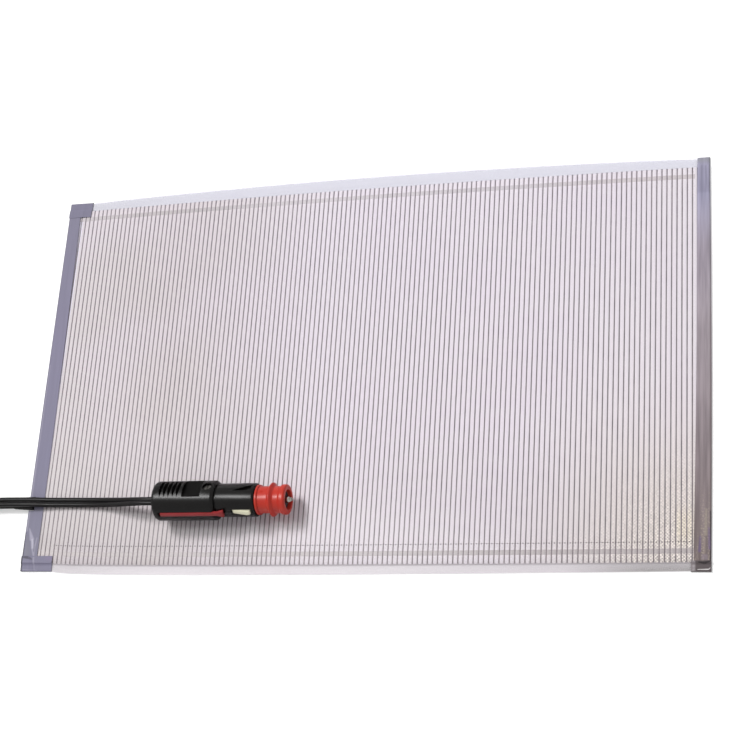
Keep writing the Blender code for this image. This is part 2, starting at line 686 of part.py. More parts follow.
def build_cord(exit_y, plug_frame):
    """The cord from the boot, through the coil, to the rear of the plug."""
    outer = COIL_MID_RADIUS + COIL_PITCH * COIL_TURNS / 4
    centre = Vector((COIL_CENTRE_X, exit_y - outer))
    low_z = TIE_THICKNESS + FACE_GAP + CORD_WIDTH / 2
    high_z = low_z + COIL_LAYER_PITCH
    turns = coil_points(centre, low_z)
    lead_in = Vector((centre.x + CORD_WIDTH, centre.y + outer, low_z))
    lead_out = Vector((centre.x + outer, centre.y + CORD_WIDTH, high_z))
    coil = [lead_in] + turns + [lead_out]
    flat_cord("cord_coil", coil, [0.0] * len(coil))
    print("cord_coil least gap to itself, mm:", round(least_coil_gap(centre, turns) * 1000, 3))

    mat_start = Vector((LEFT - BOOT_OUTSIDE - FACE_GAP, exit_y, EXIT_HEIGHT))
    mat_end = lead_in + Vector((FACE_GAP, 0, 0))
    mat_route = [
        (mat_start, 90),
        ((-0.2385, exit_y, 0.0019), 90),
        ((-0.2540, exit_y, 0.0020), 90),
        ((-0.2760, exit_y, 0.0030), 45),
        ((-0.2960, exit_y, 0.0038), 6),
        (mat_end, 0),
    ]
    points, rolls, mat_length = smooth_route(mat_route)
    flat_cord("cord_mat_side", points, rolls)

    plug_rear = plug_frame.matrix_world @ Vector((-FACE_GAP, 0, 0))
    plug_start = lead_out + Vector((0, FACE_GAP, 0))
    plug_route = [
        (plug_start, 0),
        ((-0.2731, -0.1140, 0.0106), 8),
        ((-0.2690, -0.1012, 0.0094), 30),
        ((-0.2605, -0.0920, 0.0078), 62),
        ((-0.2500, -0.0876, 0.0066), 86),
        ((-0.2390, -0.0868, 0.0062), 90),
        ((-0.2270, -0.0868, 0.0063), 90),
        ((-0.2150, -0.0868, 0.0057), 90),
        ((-0.2030, -0.0868, 0.0043), 90),
        ((-0.1900, -0.0868, 0.0037), 90),
        ((-0.1760, -0.0871, 0.0040), 90),
        ((-0.1620, -0.0877, 0.0060), 84),
        ((-0.1500, -0.0888, 0.0101), 74),
        ((-0.1395, -0.0895, 0.0135), 64),
        ((-0.1305, -0.0897, 0.0147), 59),
        (plug_rear, 90 + PLUG_ROLL_DEGREES),
    ]
    points, rolls, plug_length = smooth_route(plug_route)
    flat_cord("cord_plug_side", points, rolls)
    coil_length = sum((b - a).length for a, b in zip(coil, coil[1:]))
    print("cord length, m:", round(mat_length + coil_length + plug_length, 4))

    reach_in = COIL_MID_RADIUS - COIL_PITCH * COIL_TURNS / 4 - CORD_THICKNESS / 2 - FACE_GAP
    reach_out = outer + CORD_THICKNESS / 2 + FACE_GAP
    top = high_z + CORD_WIDTH / 2 + FACE_GAP
    build_tie(centre, reach_in, reach_out, top)


def build_tie(centre, reach_in, reach_out, top):
    """A thin strap round the turns on the coil's far side."""
    shape = bmesh.new()
    rings = []
    for grow in (0.0, TIE_THICKNESS):
        corners = [(centre.x - reach_in + grow, TIE_THICKNESS - grow),
                   (centre.x - reach_out - grow, TIE_THICKNESS - grow),
                   (centre.x - reach_out - grow, top + grow), (centre.x - reach_in + grow, top + grow)]
        for side in (-1, 1):
            y = centre.y + side * TIE_WIDTH / 2
            rings.append([shape.verts.new((x, y, z)) for x, z in corners])
    for first, second in ((0, 1), (1, 3), (3, 2), (2, 0)):
        for i in range(4):
            j = (i + 1) % 4
            shape.faces.new((rings[first][i], rings[first][j], rings[second][j], rings[second][i]))
    close_mesh("coil_tie", shape, BLACK_CORD)


# Places along the plug that follow from its sizes
NECK_START = BODY_LENGTH + RING_GAP_WIDTH
NECK_END = NECK_START + NECK_LENGTH
CAVITY_END = NOSE_START - FACE_GAP - CAVITY_END_WALL
FUSE_FRONT = NOSE_END - NOSE_FRONT_WALL - FACE_GAP - TIP_FLANGE_LENGTH - SPRING_LENGTH - 2 * FACE_GAP
FUSE_REAR = FUSE_FRONT - FUSE_LENGTH
SLEEVE_START = NECK_END + FACE_GAP
BRIDGE_START = CONTACT_PIVOT_X - CONTACT_THICKNESS - FACE_GAP / 2 - BRIDGE_LENGTH


def shell_blank(name, frame):
    """The outer form of the whole housing as one turned solid."""
    rear_round = arc((BODY_REAR_ROUND, BODY_RADIUS - BODY_REAR_ROUND), BODY_REAR_ROUND, 180, 90, 4)
    profile = [(0, 0)] + rear_round + [
        (BODY_LENGTH - BODY_FRONT_CHAMFER, BODY_RADIUS),
        (BODY_LENGTH, BODY_RADIUS - BODY_FRONT_CHAMFER),
        (BODY_LENGTH, RING_GAP_RADIUS),
        (NECK_START, RING_GAP_RADIUS),
        (NECK_START, NECK_RADIUS),
        (NECK_END - NECK_EDGE, NECK_RADIUS),
        (NECK_END, NECK_RADIUS - NECK_EDGE),
        (NECK_END, 0),
    ]
    return turned(name, profile, BLACK_PLASTIC, frame)


def cavity_cutter(frame):
    """The room inside both shells, less the screw boss."""
    nose_bore = NOSE_RADIUS + FACE_GAP
    flange_bore = NOSE_FLANGE_RADIUS + FACE_GAP
    flange_start = NOSE_START - FACE_GAP
    flange_end = NOSE_START + NOSE_FLANGE_LENGTH + FACE_GAP
    profile = [
        (CAVITY_START, 0), (CAVITY_START, CAVITY_RADIUS),
        (CAVITY_END, CAVITY_RADIUS), (CAVITY_END, nose_bore),
        (flange_start, nose_bore), (flange_start, flange_bore),
        (flange_end, flange_bore), (flange_end, nose_bore),
        (NECK_END + OVERRUN, nose_bore), (NECK_END + OVERRUN, 0),
    ]
    cavity = turned("cavity_cutter", profile, BLACK_PLASTIC, frame)
    boss_outline = [(SCREW_X + x, y) for x, y in arc((0, 0), BOSS_RADIUS, 0, 337.5, 15)]
    boss = prism("boss_cutter", boss_outline, -BODY_RADIUS, BODY_RADIUS, "z", BLACK_PLASTIC, frame)
    cut(cavity, boss)
    return cavity


def housing_cutters(frame):
    """Cutters shared by both shells."""
    cord_outline = rounded_section(CORD_WIDTH + 2 * FACE_GAP, CORD_THICKNESS + 2 * FACE_GAP,
                                   CORD_THICKNESS / 4)
    cutters = [
        cavity_cutter(frame),
        prism("cord_passage_cutter", cord_outline, -OVERRUN, CAVITY_START + OVERRUN, "x",
              BLACK_PLASTIC, frame),
    ]
    slot_half = CONTACT_WIDTH / 2 + FACE_GAP
    arm_low = CONTACT_RADIUS - CONTACT_SWEEP
    arm_high = CONTACT_RADIUS + CONTACT_THICKNESS + FACE_GAP
    for side, name in ((-1, "front"), (1, "rear")):
        arm = sorted((side * arm_low, side * arm_high))
        cutters.append(box(f"{name}_arm_cutter", (CAVITY_END - OVERRUN, arm[0], -slot_half),
                           (CONTACT_SLOT_START + OVERRUN, arm[1], slot_half), BLACK_PLASTIC, frame))
        slot = sorted((side * (NOSE_RADIUS - OVERRUN), side * (CONTACT_CREST_RADIUS + OVERRUN)))
        cutters.append(box(f"{name}_slot_cutter", (CONTACT_SLOT_START, slot[0], -slot_half),
                           (CONTACT_SLOT_END, slot[1], slot_half), BLACK_PLASTIC, frame))
        sweep_low = sorted((side * NOSE_RADIUS, side * (CONTACT_RADIUS + CONTACT_THICKNESS)))
        cutters.append(box(f"{name}_sweep_cutter",
                           (NOSE_START + NOSE_FLANGE_LENGTH, sweep_low[0], -slot_half),
                           (CONTACT_SLOT_START + OVERRUN, sweep_low[1], slot_half), BLACK_PLASTIC, frame))
    cutters.append(lock_groove_cutter(frame))
    return cutters


def slide_outline(start, end, half, head_half, head_length):
    """Plan of the lock slide: a bar that flares to its head, as (x, z)."""
    return [(start, -half), (end - head_length, -half), (end, -head_half),
            (end, head_half), (end - head_length, half), (start, half)]


def lock_groove_cutter(frame):
    """Groove in the seam for the lock slide and its travel."""
    outline = slide_outline(SLIDE_START - SLIDE_TRAVEL - FACE_GAP, SLIDE_END, SLIDE_HALF_WIDTH + FACE_GAP,
                            SLIDE_HEAD_HALF_WIDTH + FACE_GAP, SLIDE_HEAD_LENGTH + SLIDE_TRAVEL)
    return prism("lock_groove_cutter", outline, -SLIDE_OUTER_RADIUS - OVERRUN,
                 FACE_GAP - SLIDE_INNER_RADIUS, "y", BLACK_PLASTIC, frame)


def grip_cutters(frame, side):
    """V grooves and the thumb pad on one shell."""
    cutters = []
    low = side * (BODY_RADIUS - GROOVE_DEPTH)
    slope = GROOVE_HALF_WIDTH / GROOVE_DEPTH
    high = side * (BODY_RADIUS + OVERRUN)
    half = slope * (GROOVE_DEPTH + OVERRUN)
    for i in range(GROOVE_COUNT):
        x = GROOVE_FIRST + i * GROOVE_PITCH
        cutters.append(prism(f"grip_cutter_{i}_{side}", [(x, low), (x + half, high), (x - half, high)],
                             -BODY_RADIUS, BODY_RADIUS, "y", BLACK_PLASTIC, frame))
    pad_low, pad_high = sorted((side * (BODY_RADIUS - PAD_DEPTH), side * (BODY_RADIUS + OVERRUN)))
    cutters.append(box(f"pad_cutter_{side}", (PAD_START, -BODY_RADIUS, pad_low),
                       (PAD_START + PAD_LENGTH, BODY_RADIUS, pad_high), BLACK_PLASTIC, frame))
    return cutters


def round_cutter(name, x, radius, low, high, frame):
    """A cylinder along the screw's direction."""
    outline = [(x + across, y) for across, y in arc((0, 0), radius, 0, 337.5, 15)]
    return prism(name, outline, low, high, "z", BLACK_PLASTIC, frame)


def build_shells(frame):
    """Two half shells with grips, slots, groove, boss and cord passage."""
    shared = housing_cutters(frame)
    length = NECK_END + OVERRUN
    reach = BODY_RADIUS + OVERRUN
    shank = SCREW_RADIUS + FACE_GAP
    for side, name in ((1, "plug_shell_upper"), (-1, "plug_shell_lower")):
        shell = shell_blank(name, frame)
        z_low, z_high = sorted((side * SEAM_GAP / 2, side * reach))
        half = box(f"{name}_half_cutter", (-OVERRUN, -reach, z_low), (length, reach, z_high),
                   BLACK_PLASTIC, frame)
        cut(shell, half, "INTERSECT")
        for cutter in shared + grip_cutters(frame, side):
            cut(shell, cutter)
        if side > 0:
            cut(shell, round_cutter("screw_seat_cutter", SCREW_X, SCREW_HEAD_RADIUS + FACE_GAP,
                                    SCREW_HEAD_SEAT - FACE_GAP, reach, frame))
            cut(shell, round_cutter("screw_hole_cutter", SCREW_X, shank, -SEAM_GAP, reach, frame))
            clamp_half = CLAMP_WIDTH / 2 + FACE_GAP
            cut(shell, box("clamp_pocket_cutter", (CLAMP_START - FACE_GAP, -clamp_half, 0),
                           (CLAMP_START + CLAMP_LENGTH + FACE_GAP, clamp_half,
                            CORD_THICKNESS / 2 + CLAMP_HEIGHT + 2 * FACE_GAP), BLACK_PLASTIC, frame))
            pocket = [(POCKET_START, -POCKET_NEAR), (POCKET_END - POCKET_CORNER, -POCKET_NEAR),
                      (POCKET_END, POCKET_CORNER - POCKET_NEAR), (POCKET_END, POCKET_FAR)]
            cut(shell, prism("pocket_cutter", pocket, NECK_RADIUS - POCKET_DEPTH, reach, "z",
                             BLACK_PLASTIC, frame))
        else:
            cut(shell, round_cutter("screw_pilot_cutter", SCREW_X, shank,
                                    -SCREW_DEPTH - FACE_GAP, SEAM_GAP, frame))


def build_screw(frame):
    """Slotted screw that holds the shells together."""
    profile = [(-SCREW_DEPTH, 0), (-SCREW_DEPTH, SCREW_RADIUS), (SCREW_HEAD_SEAT, SCREW_RADIUS),
               (SCREW_HEAD_SEAT, SCREW_HEAD_RADIUS),
               (SCREW_HEAD_SEAT + SCREW_HEAD_HEIGHT, SCREW_HEAD_RADIUS),
               (SCREW_HEAD_SEAT + SCREW_HEAD_HEIGHT, 0)]
    screw = turned("shell_screw", profile, CHROME, frame, segments=16)
    screw.data.transform(Matrix.Rotation(-math.pi / 2, 4, "Y"))
    screw.location = (SCREW_X, 0, 0)
    top = SCREW_HEAD_SEAT + SCREW_HEAD_HEIGHT
    slot = box("screw_slot_cutter",
               (SCREW_X - SCREW_SLOT_WIDTH / 2, -BOSS_RADIUS, top - SCREW_SLOT_DEPTH),
               (SCREW_X + SCREW_SLOT_WIDTH / 2, BOSS_RADIUS, top + OVERRUN), CHROME, frame)
    cut(screw, slot)


def build_clamp(frame):
    """Bar that presses on the cord inside the upper shell, and the clamped end of the cord."""
    low = CORD_THICKNESS / 2 + FACE_GAP
    box("cord_clamp", (CLAMP_START, -CLAMP_WIDTH / 2, low),
        (CLAMP_START + CLAMP_LENGTH, CLAMP_WIDTH / 2, low + CLAMP_HEIGHT), BLACK_PLASTIC, frame)
    section = rounded_section(CORD_WIDTH, CORD_THICKNESS, CORD_THICKNESS / 4)
    prism("cord_end", section, 0, CAVITY_START + CORD_THICKNESS / 2, "x", BLACK_CORD, frame)


def build_nose(frame):
    """Insulating nose that holds the fuse, the spring and the tip contact."""
    hole = TIP_SHAFT_RADIUS + FACE_GAP
    wall_start = NOSE_END - NOSE_FRONT_WALL
    profile = [
        (NOSE_START, NOSE_BORE_RADIUS), (NOSE_START, NOSE_FLANGE_RADIUS),
        (NOSE_START + NOSE_FLANGE_LENGTH, NOSE_FLANGE_RADIUS),
        (NOSE_START + NOSE_FLANGE_LENGTH, NOSE_RADIUS),
        (NOSE_END - NOSE_EDGE, NOSE_RADIUS), (NOSE_END, NOSE_RADIUS - NOSE_EDGE),
        (NOSE_END, hole), (wall_start, hole), (wall_start, NOSE_BORE_RADIUS),
    ]
    turned("plug_nose", profile, BLACK_PLASTIC, frame, bored=True)


def build_tip(frame):
    """Sprung tip contact, its spring, the fuse and the seat behind it."""
    flange_start = NOSE_END - NOSE_FRONT_WALL - FACE_GAP - TIP_FLANGE_LENGTH
    profile = [
        (flange_start, 0), (flange_start, TIP_FLANGE_RADIUS),
        (flange_start + TIP_FLANGE_LENGTH, TIP_FLANGE_RADIUS),
        (flange_start + TIP_FLANGE_LENGTH, TIP_SHAFT_RADIUS), (TIP_CONE_START, TIP_SHAFT_RADIUS),
        (TIP_END - TIP_POINT_RADIUS, TIP_POINT_RADIUS * 1.5), (TIP_END, 0),
    ]
    tip = turned("tip_contact", profile, CHROME, frame, segments=20)
    set_pivot(tip, (flange_start, 0, 0))

    spring_start = FUSE_FRONT + FACE_GAP + SPRING_WIRE_RADIUS
    spring_end = flange_start - FACE_GAP - SPRING_WIRE_RADIUS
    steps = SPRING_TURNS * SPRING_POINTS_PER_TURN
    points = []
    for i in range(steps + 1):
        angle = math.tau * i / SPRING_POINTS_PER_TURN
        points.append(Vector((spring_start + (spring_end - spring_start) * i / steps,
                              SPRING_RADIUS * math.cos(angle), SPRING_RADIUS * math.sin(angle))))
    round_tube("tip_spring", points, SPRING_WIRE_RADIUS, CHROME, frame, resolution=1)

    turned("fuse_cap_front", [(FUSE_FRONT - FUSE_CAP_LENGTH, 0), (FUSE_FRONT - FUSE_CAP_LENGTH, FUSE_RADIUS),
                              (FUSE_FRONT, FUSE_RADIUS), (FUSE_FRONT, 0)], CONTACT_METAL, frame, segments=16)
    turned("fuse_cap_rear", [(FUSE_REAR, 0), (FUSE_REAR, FUSE_RADIUS),
                             (FUSE_REAR + FUSE_CAP_LENGTH, FUSE_RADIUS),
                             (FUSE_REAR + FUSE_CAP_LENGTH, 0)], CONTACT_METAL, frame, segments=16)
    glass_start = FUSE_REAR + FUSE_CAP_LENGTH + FACE_GAP
    glass_end = FUSE_FRONT - FUSE_CAP_LENGTH - FACE_GAP
    turned("fuse_glass", [(glass_start, GLASS_BORE_RADIUS), (glass_start, GLASS_RADIUS),
                          (glass_end, GLASS_RADIUS), (glass_end, GLASS_BORE_RADIUS)],
           GLASS, frame, segments=16, bored=True)
    turned("fuse_wire", [(glass_start, 0), (glass_start, FUSE_WIRE_RADIUS), (glass_end, FUSE_WIRE_RADIUS),
                         (glass_end, 0)], CONTACT_METAL, frame, segments=8)
    seat_end = FUSE_REAR - FACE_GAP
    seat_start = seat_end - SEAT_LENGTH
    tail_x = seat_start - SEAT_TAIL_LENGTH
    turned("fuse_seat", [(tail_x, 0), (tail_x, SEAT_TAIL_RADIUS), (seat_start, SEAT_TAIL_RADIUS),
                         (seat_start, SEAT_RADIUS), (seat_end, SEAT_RADIUS), (seat_end, 0)],
           CONTACT_METAL, frame, segments=16)
    return tail_x


def round_tube(name, points, radius, finish, frame, resolution=1):
    """A round wire or core along a list of points."""
    curve = bpy.data.curves.new(name, "CURVE")
    curve.dimensions = "3D"
    curve.bevel_depth = radius
    curve.bevel_resolution = resolution
    curve.use_fill_caps = True
    spline = curve.splines.new("POLY")
    spline.points.add(len(points) - 1)
    for place, point in zip(spline.points, points):
        place.co = (*point, 1.0)
    return add_object(name, curve, finish, frame)


def build_contacts(frame):
    """Two side contacts that press in, and the ring that joins them."""
    for side, name in ((-1, "side_contact_front"), (1, "side_contact_rear")):
        root = CONTACT_PIVOT_X - CONTACT_THICKNESS + FACE_GAP / 2
        inner = CONTACT_RADIUS
        outline = [
            (root, inner), (CONTACT_TOOTH_END, inner),
            (CONTACT_TOOTH_END, CONTACT_CREST_RADIUS - CONTACT_NOSE_ROUND),
            (CONTACT_TOOTH_END - CONTACT_NOSE_ROUND / 2, CONTACT_CREST_RADIUS - CONTACT_NOSE_ROUND / 4),
            (CONTACT_TOOTH_END - CONTACT_NOSE_ROUND * 2, CONTACT_CREST_RADIUS),
            (CONTACT_TOOTH_START, CONTACT_HEEL_RADIUS),
            (CONTACT_TOOTH_START, inner + CONTACT_THICKNESS), (root, inner + CONTACT_THICKNESS),
        ]
        contact = prism(name, [(x, side * y) for x, y in outline], -CONTACT_WIDTH / 2, CONTACT_WIDTH / 2,
                        "z", CONTACT_METAL, frame)
        set_pivot(contact, (CONTACT_PIVOT_X, side * (CONTACT_RADIUS + CONTACT_THICKNESS / 2), 0))
    bridge_end = BRIDGE_START + BRIDGE_LENGTH
    turned("contact_bridge", [(BRIDGE_START, BRIDGE_INNER_RADIUS), (BRIDGE_START, BRIDGE_OUTER_RADIUS),
                              (bridge_end, BRIDGE_OUTER_RADIUS), (bridge_end, BRIDGE_INNER_RADIUS)],
           CONTACT_METAL, frame, bored=True)


def build_cores(frame, tail_x):
    """The cord's two cores from its clamped end to the seat and the bridge."""
    start = CAVITY_START + CORD_THICKNESS / 2 + FACE_GAP
    offset = CORD_WIDTH / 4
    bend = BOSS_RADIUS * 2
    live = [(start, offset, 0), (SCREW_X - bend - CORE_SPREAD, offset * 1.6, 0),
            (SCREW_X - bend / 2, CORE_SPREAD, 0), (SCREW_X + SCREW_RADIUS, CORE_SPREAD, 0)]
    live += [(tail_x - FACE_GAP - 2 * CORE_RADIUS, 0, 0), (tail_x - FACE_GAP, 0, 0)]
    bridge_y = (BRIDGE_INNER_RADIUS + CORE_SPREAD + CORE_RADIUS) / 2
    ground = [(start, -offset, 0), (SCREW_X - bend - CORE_SPREAD, -offset * 1.6, 0),
              (SCREW_X - bend / 2, -CORE_SPREAD, 0), (SCREW_X - CORE_RADIUS, -CORE_SPREAD, 0),
              (BRIDGE_START - FACE_GAP - CORE_RADIUS, -bridge_y, 0),
              (BRIDGE_START - FACE_GAP, -bridge_y, 0)]
    for name, route in (("live_core", live), ("ground_core", ground)):
        round_tube(name, [Vector(point) for point in route], CORE_RADIUS, LEAD_INSULATION, frame,
                   resolution=2)


def build_sleeve(frame):
    """Adapter sleeve that slides on the nose and pulls off forwards."""
    start = SLEEVE_START
    end = SLEEVE_START + SLEEVE_LENGTH
    ridge = start + SLEEVE_RIDGE_FROM_REAR
    bore = NOSE_RADIUS + SLEEVE_CLEARANCE
    round_over = SLEEVE_RIM_RADIUS - SLEEVE_RADIUS
    profile = [
        (start, bore), (start, SLEEVE_RIM_RADIUS), (start + SLEEVE_REAR_RIM, SLEEVE_RIM_RADIUS),
        (start + SLEEVE_REAR_RIM, SLEEVE_RADIUS),
        (ridge - SLEEVE_RIDGE_FOOT, SLEEVE_RADIUS), (ridge - SLEEVE_RIDGE_TOP / 2, SLEEVE_RIDGE_RADIUS),
        (ridge + SLEEVE_RIDGE_TOP / 2, SLEEVE_RIDGE_RADIUS), (ridge + SLEEVE_RIDGE_FOOT, SLEEVE_RADIUS),
        (end - SLEEVE_FRONT_RIM - round_over, SLEEVE_RADIUS), (end - SLEEVE_FRONT_RIM, SLEEVE_RIM_RADIUS),
        (end - round_over, SLEEVE_RIM_RADIUS), (end, SLEEVE_RADIUS), (end, bore),
    ]
    sleeve = turned("adapter_sleeve", profile, RED_PLASTIC, frame, bored=True)
    set_pivot(sleeve, (start, 0, 0))


def build_lock_slide(frame):
    """Bar that slides in the seam, with a flared head over the neck."""
    outline = slide_outline(SLIDE_START, SLIDE_END, SLIDE_HALF_WIDTH, SLIDE_HEAD_HALF_WIDTH,
                            SLIDE_HEAD_LENGTH)
    slide = prism("lock_slide", outline, -SLIDE_OUTER_RADIUS, -SLIDE_INNER_RADIUS, "y", RED_PLASTIC, frame)
    set_pivot(slide, (SLIDE_START, -SLIDE_OUTER_RADIUS, 0))


def build_plug():
    """The plug's frame on the mat, and everything in it."""
    frame = bpy.data.objects.new("plug_frame", None)
    bpy.context.scene.collection.objects.link(frame)
    rest_z = COVER_FILM_Z + FILM_THICKNESS + FACE_GAP + BODY_RADIUS
    frame.location = (PLUG_REAR_X, FRONT + PLUG_FROM_FRONT, rest_z)
    frame.rotation_euler = (math.radians(PLUG_ROLL_DEGREES), 0, 0)
    bpy.context.view_layer.update()
    build_shells(frame)
    build_screw(frame)
    build_clamp(frame)
    build_nose(frame)
    tail_x = build_tip(frame)
    build_contacts(frame)
    build_cores(frame, tail_x)
    build_sleeve(frame)
    build_lock_slide(frame)
    return frame


def main():
    """Build the mat from the floor up, then the plug and the cord between them."""
    exit_y = FRONT + EXIT_FROM_FRONT
    build_films()
    build_fabric()
    build_threads()
    front_y, rear_y = build_busbars()
    build_tapes(exit_y)
    build_leads(exit_y, front_y, rear_y)
    build_boot(exit_y)
    frame = build_plug()
    build_cord(exit_y, frame)


main()
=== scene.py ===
"""Looks of the heated mat: films, woven carrier, heating threads, tapes, flat cord and power plug.

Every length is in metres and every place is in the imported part's frame: +X along the mat from the
cord's end, +Y from the front edge to the rear, +Z up through the warm face.
"""

import logging
import math
from collections.abc import Sequence
from dataclasses import dataclass
from enum import Enum

import bmesh
import bpy
from mathutils import Matrix, Vector


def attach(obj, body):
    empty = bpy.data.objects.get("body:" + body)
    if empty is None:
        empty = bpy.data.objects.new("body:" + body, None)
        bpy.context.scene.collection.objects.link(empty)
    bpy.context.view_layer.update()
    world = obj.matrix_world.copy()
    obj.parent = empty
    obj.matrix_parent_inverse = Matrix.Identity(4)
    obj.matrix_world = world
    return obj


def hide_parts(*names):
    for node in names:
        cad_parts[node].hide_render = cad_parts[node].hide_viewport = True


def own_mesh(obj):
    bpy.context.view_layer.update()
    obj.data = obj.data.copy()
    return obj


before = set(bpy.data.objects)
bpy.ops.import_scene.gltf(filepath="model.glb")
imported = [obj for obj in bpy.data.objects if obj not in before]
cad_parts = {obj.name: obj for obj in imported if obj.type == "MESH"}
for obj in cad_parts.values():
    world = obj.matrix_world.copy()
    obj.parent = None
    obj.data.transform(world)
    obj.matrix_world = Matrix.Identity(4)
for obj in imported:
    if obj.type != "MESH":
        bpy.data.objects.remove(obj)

LOG = logging.getLogger("heated_mat")
MM = 0.001
Pair = tuple[float, float]
Triple = tuple[float, float, float]
Colour = tuple[float, float, float, float]
Tones = tuple[tuple[float, str], ...]
Piece = bpy.types.Object
Tree = bpy.types.NodeTree
Node = bpy.types.Node
Socket = bpy.types.NodeSocket


class Body(Enum):
    """The bodies of the part that a piece can ride on."""

    MAT = "mat"
    TIP = "tip"
    SLEEVE = "sleeve"
    LOCK = "lock"
    FRONT_CONTACT = "front_contact"
    REAR_CONTACT = "rear_contact"


class Slot(Enum):
    """The record's material slots that the pieces made here use."""

    FILM = "clear_film"
    FABRIC = "white_fabric"
    YARN = "heating_yarn"
    TINNED = "tinned_copper"
    TAPE = "binding_tape"
    CORD = "black_cord"
    BLACK = "black_plastic"
    RED = "red_plastic"
    CONTACT = "contact_metal"
    CHROME = "chrome"


# ---------------------------------------------------------------- colours and nodes


def linear(code: str) -> Colour:
    """Turn an sRGB hex colour into linear RGBA.

    Args:
        code: the colour as #RRGGBB.

    Returns:
        The linear red, green, blue and an alpha of 1.
    """
    parts = [int(code[i:i + 2], 16) / 255 for i in (1, 3, 5)]
    red, green, blue = (p / 12.92 if p <= 0.04045 else ((p + 0.055) / 1.055) ** 2.4 for p in parts)
    return red, green, blue, 1.0


def add_node(tree: Tree, kind: str, inputs: dict | None = None, **settings) -> Node:
    """Add one node with its settings and links.

    Args:
        tree: the tree that gets the node.
        kind: the node's type name.
        inputs: by name or index, a value, an output socket, or a node whose first live output is linked.
        **settings: the node's own properties.

    Returns:
        The new node.
    """
    node = tree.nodes.new(kind)
    for name, value in settings.items():
        setattr(node, name, value)
    for key, value in (inputs or {}).items():
        if isinstance(value, Node):
            value = next(out for out in value.outputs if out.enabled)
        if isinstance(value, Socket):
            tree.links.new(value, node.inputs[key])
        else:
            node.inputs[key].default_value = value
    return node


def mm(*values: float) -> tuple[float, ...]:
    """Turn millimetres into metres."""
    return tuple(value * MM for value in values)


def mm_points(*points: Pair) -> list[Pair]:
    """Turn points in millimetres into metres."""
    return [mm(*point) for point in points]


@dataclass
class Sketch:
    """A node tree, with short calls for the sums that repeat."""

    tree: Tree

    def math(self, operation: str, *values: float | Socket, clamp: bool = False) -> Socket:
        """Do one sum.

        Args:
            operation: its kind.
            values: its numbers or sockets, in order.
            clamp: whether the result is held between 0 and 1.

        Returns:
            The result.
        """
        made = add_node(self.tree, "ShaderNodeMath", dict(enumerate(values)), operation=operation,
                        use_clamp=clamp)
        return made.outputs[0]

    def span(self, value: Socket, low: float = 0.0, high: float = 1.0, first: float | Socket = 0.0,
             last: float = 1.0, smooth: bool = False) -> Socket:
        """Map a range of values to another one, held at both ends.

        Args:
            value: what is mapped.
            low: the value that gives first.
            high: the value that gives last.
            first: the result at low.
            last: the result at high.
            smooth: whether it eases in and out.

        Returns:
            The result.
        """
        made = add_node(self.tree, "ShaderNodeMapRange", {
            "Value": value, "From Min": low, "From Max": high, "To Min": first, "To Max": last},
            interpolation_type="SMOOTHSTEP" if smooth else "LINEAR")
        return made.outputs[0]

    def window(self, value: Socket, low: float, high: float, soft: float) -> Socket:
        """Mask of the values between two limits, with a fade of twice soft at each."""
        return self.math("MULTIPLY", self.span(value, low - soft, low + soft),
                         self.span(value, high - soft, high + soft, 1.0, 0.0))


@dataclass
class Surface(Sketch):
    """A material's tree, with the place on its surface in metres and the shader that its pattern feeds."""

    place: Socket
    shader: Node

    def axis(self, name: str) -> Socket:
        """The surface point's X, Y or Z."""
        return add_node(self.tree, "ShaderNodeSeparateXYZ", {"Vector": self.place}).outputs[name]

    def feed(self, **values: float | Socket) -> None:
        """Set or link inputs of the shader.

        Args:
            **values: by the input's name, with _ for each space.
        """
        for name, value in values.items():
            socket = self.shader.inputs[name.replace("_", " ")]
            if isinstance(value, Socket):
                self.tree.links.new(value, socket)
            else:
                socket.default_value = value

    def noise(self, scale: float, detail: float = 2.0, stretch: Triple | None = None) -> Socket:
        """Soft patches.

        Args:
            scale: how many fit in a metre.
            detail: how many finer layers they have.
            stretch: scale along each axis.

        Returns:
            A value of about 0.3 to 0.7.
        """
        where = self.place if stretch is None else add_node(
            self.tree, "ShaderNodeMapping", {"Vector": self.place, "Scale": stretch})
        return add_node(self.tree, "ShaderNodeTexNoise", {"Vector": where, "Scale": scale,
                                                          "Detail": detail}).outputs[0]

    def distance(self, point: Triple) -> Socket:
        """Distance from a point to the place on the surface."""
        return add_node(self.tree, "ShaderNodeVectorMath", {0: self.place, 1: point},
                        operation="DISTANCE").outputs["Value"]

    def mix(self, share: Socket, *tones: str | Socket) -> Socket:
        """Blend two tones.

        Args:
            share: the share of the second one.
            tones: both tones, as hex colours or sockets.

        Returns:
            The blend.
        """
        first, second = (linear(tone) if isinstance(tone, str) else tone for tone in tones)
        return add_node(self.tree, "ShaderNodeMix", {0: share, 6: first, 7: second},
                        data_type="RGBA").outputs[2]

    def scaled(self, tone: Socket, factor: Socket) -> Socket:
        """A tone times a factor."""
        return add_node(self.tree, "ShaderNodeVectorMath", {0: tone, "Scale": factor},
                        operation="SCALE").outputs["Vector"]

    def tones(self, value: Socket, tones: Tones) -> Socket:
        """Blend from tone to tone along a piece.

        Args:
            value: the place along it.
            tones: (place, colour) from the lowest place to the highest.

        Returns:
            The tone.
        """
        low, high = tones[0][0], tones[-1][0]
        ramp = add_node(self.tree, "ShaderNodeValToRGB", {"Fac": self.span(value, low, high)})
        stops = ramp.color_ramp.elements
        while len(stops) < len(tones):
            stops.new(0.5)
        for stop, (place, code) in zip(stops, tones):
            stop.position = (place - low) / (high - low)
            stop.color = linear(code)
        return ramp.outputs["Color"]

    def relief(self, height: Socket, strength: float, depth: float) -> None:
        """Let a pattern stand out of the surface, to a depth in metres."""
        self.feed(Normal=add_node(self.tree, "ShaderNodeBump", {
            "Strength": strength, "Distance": depth, "Height": height}).outputs[0])


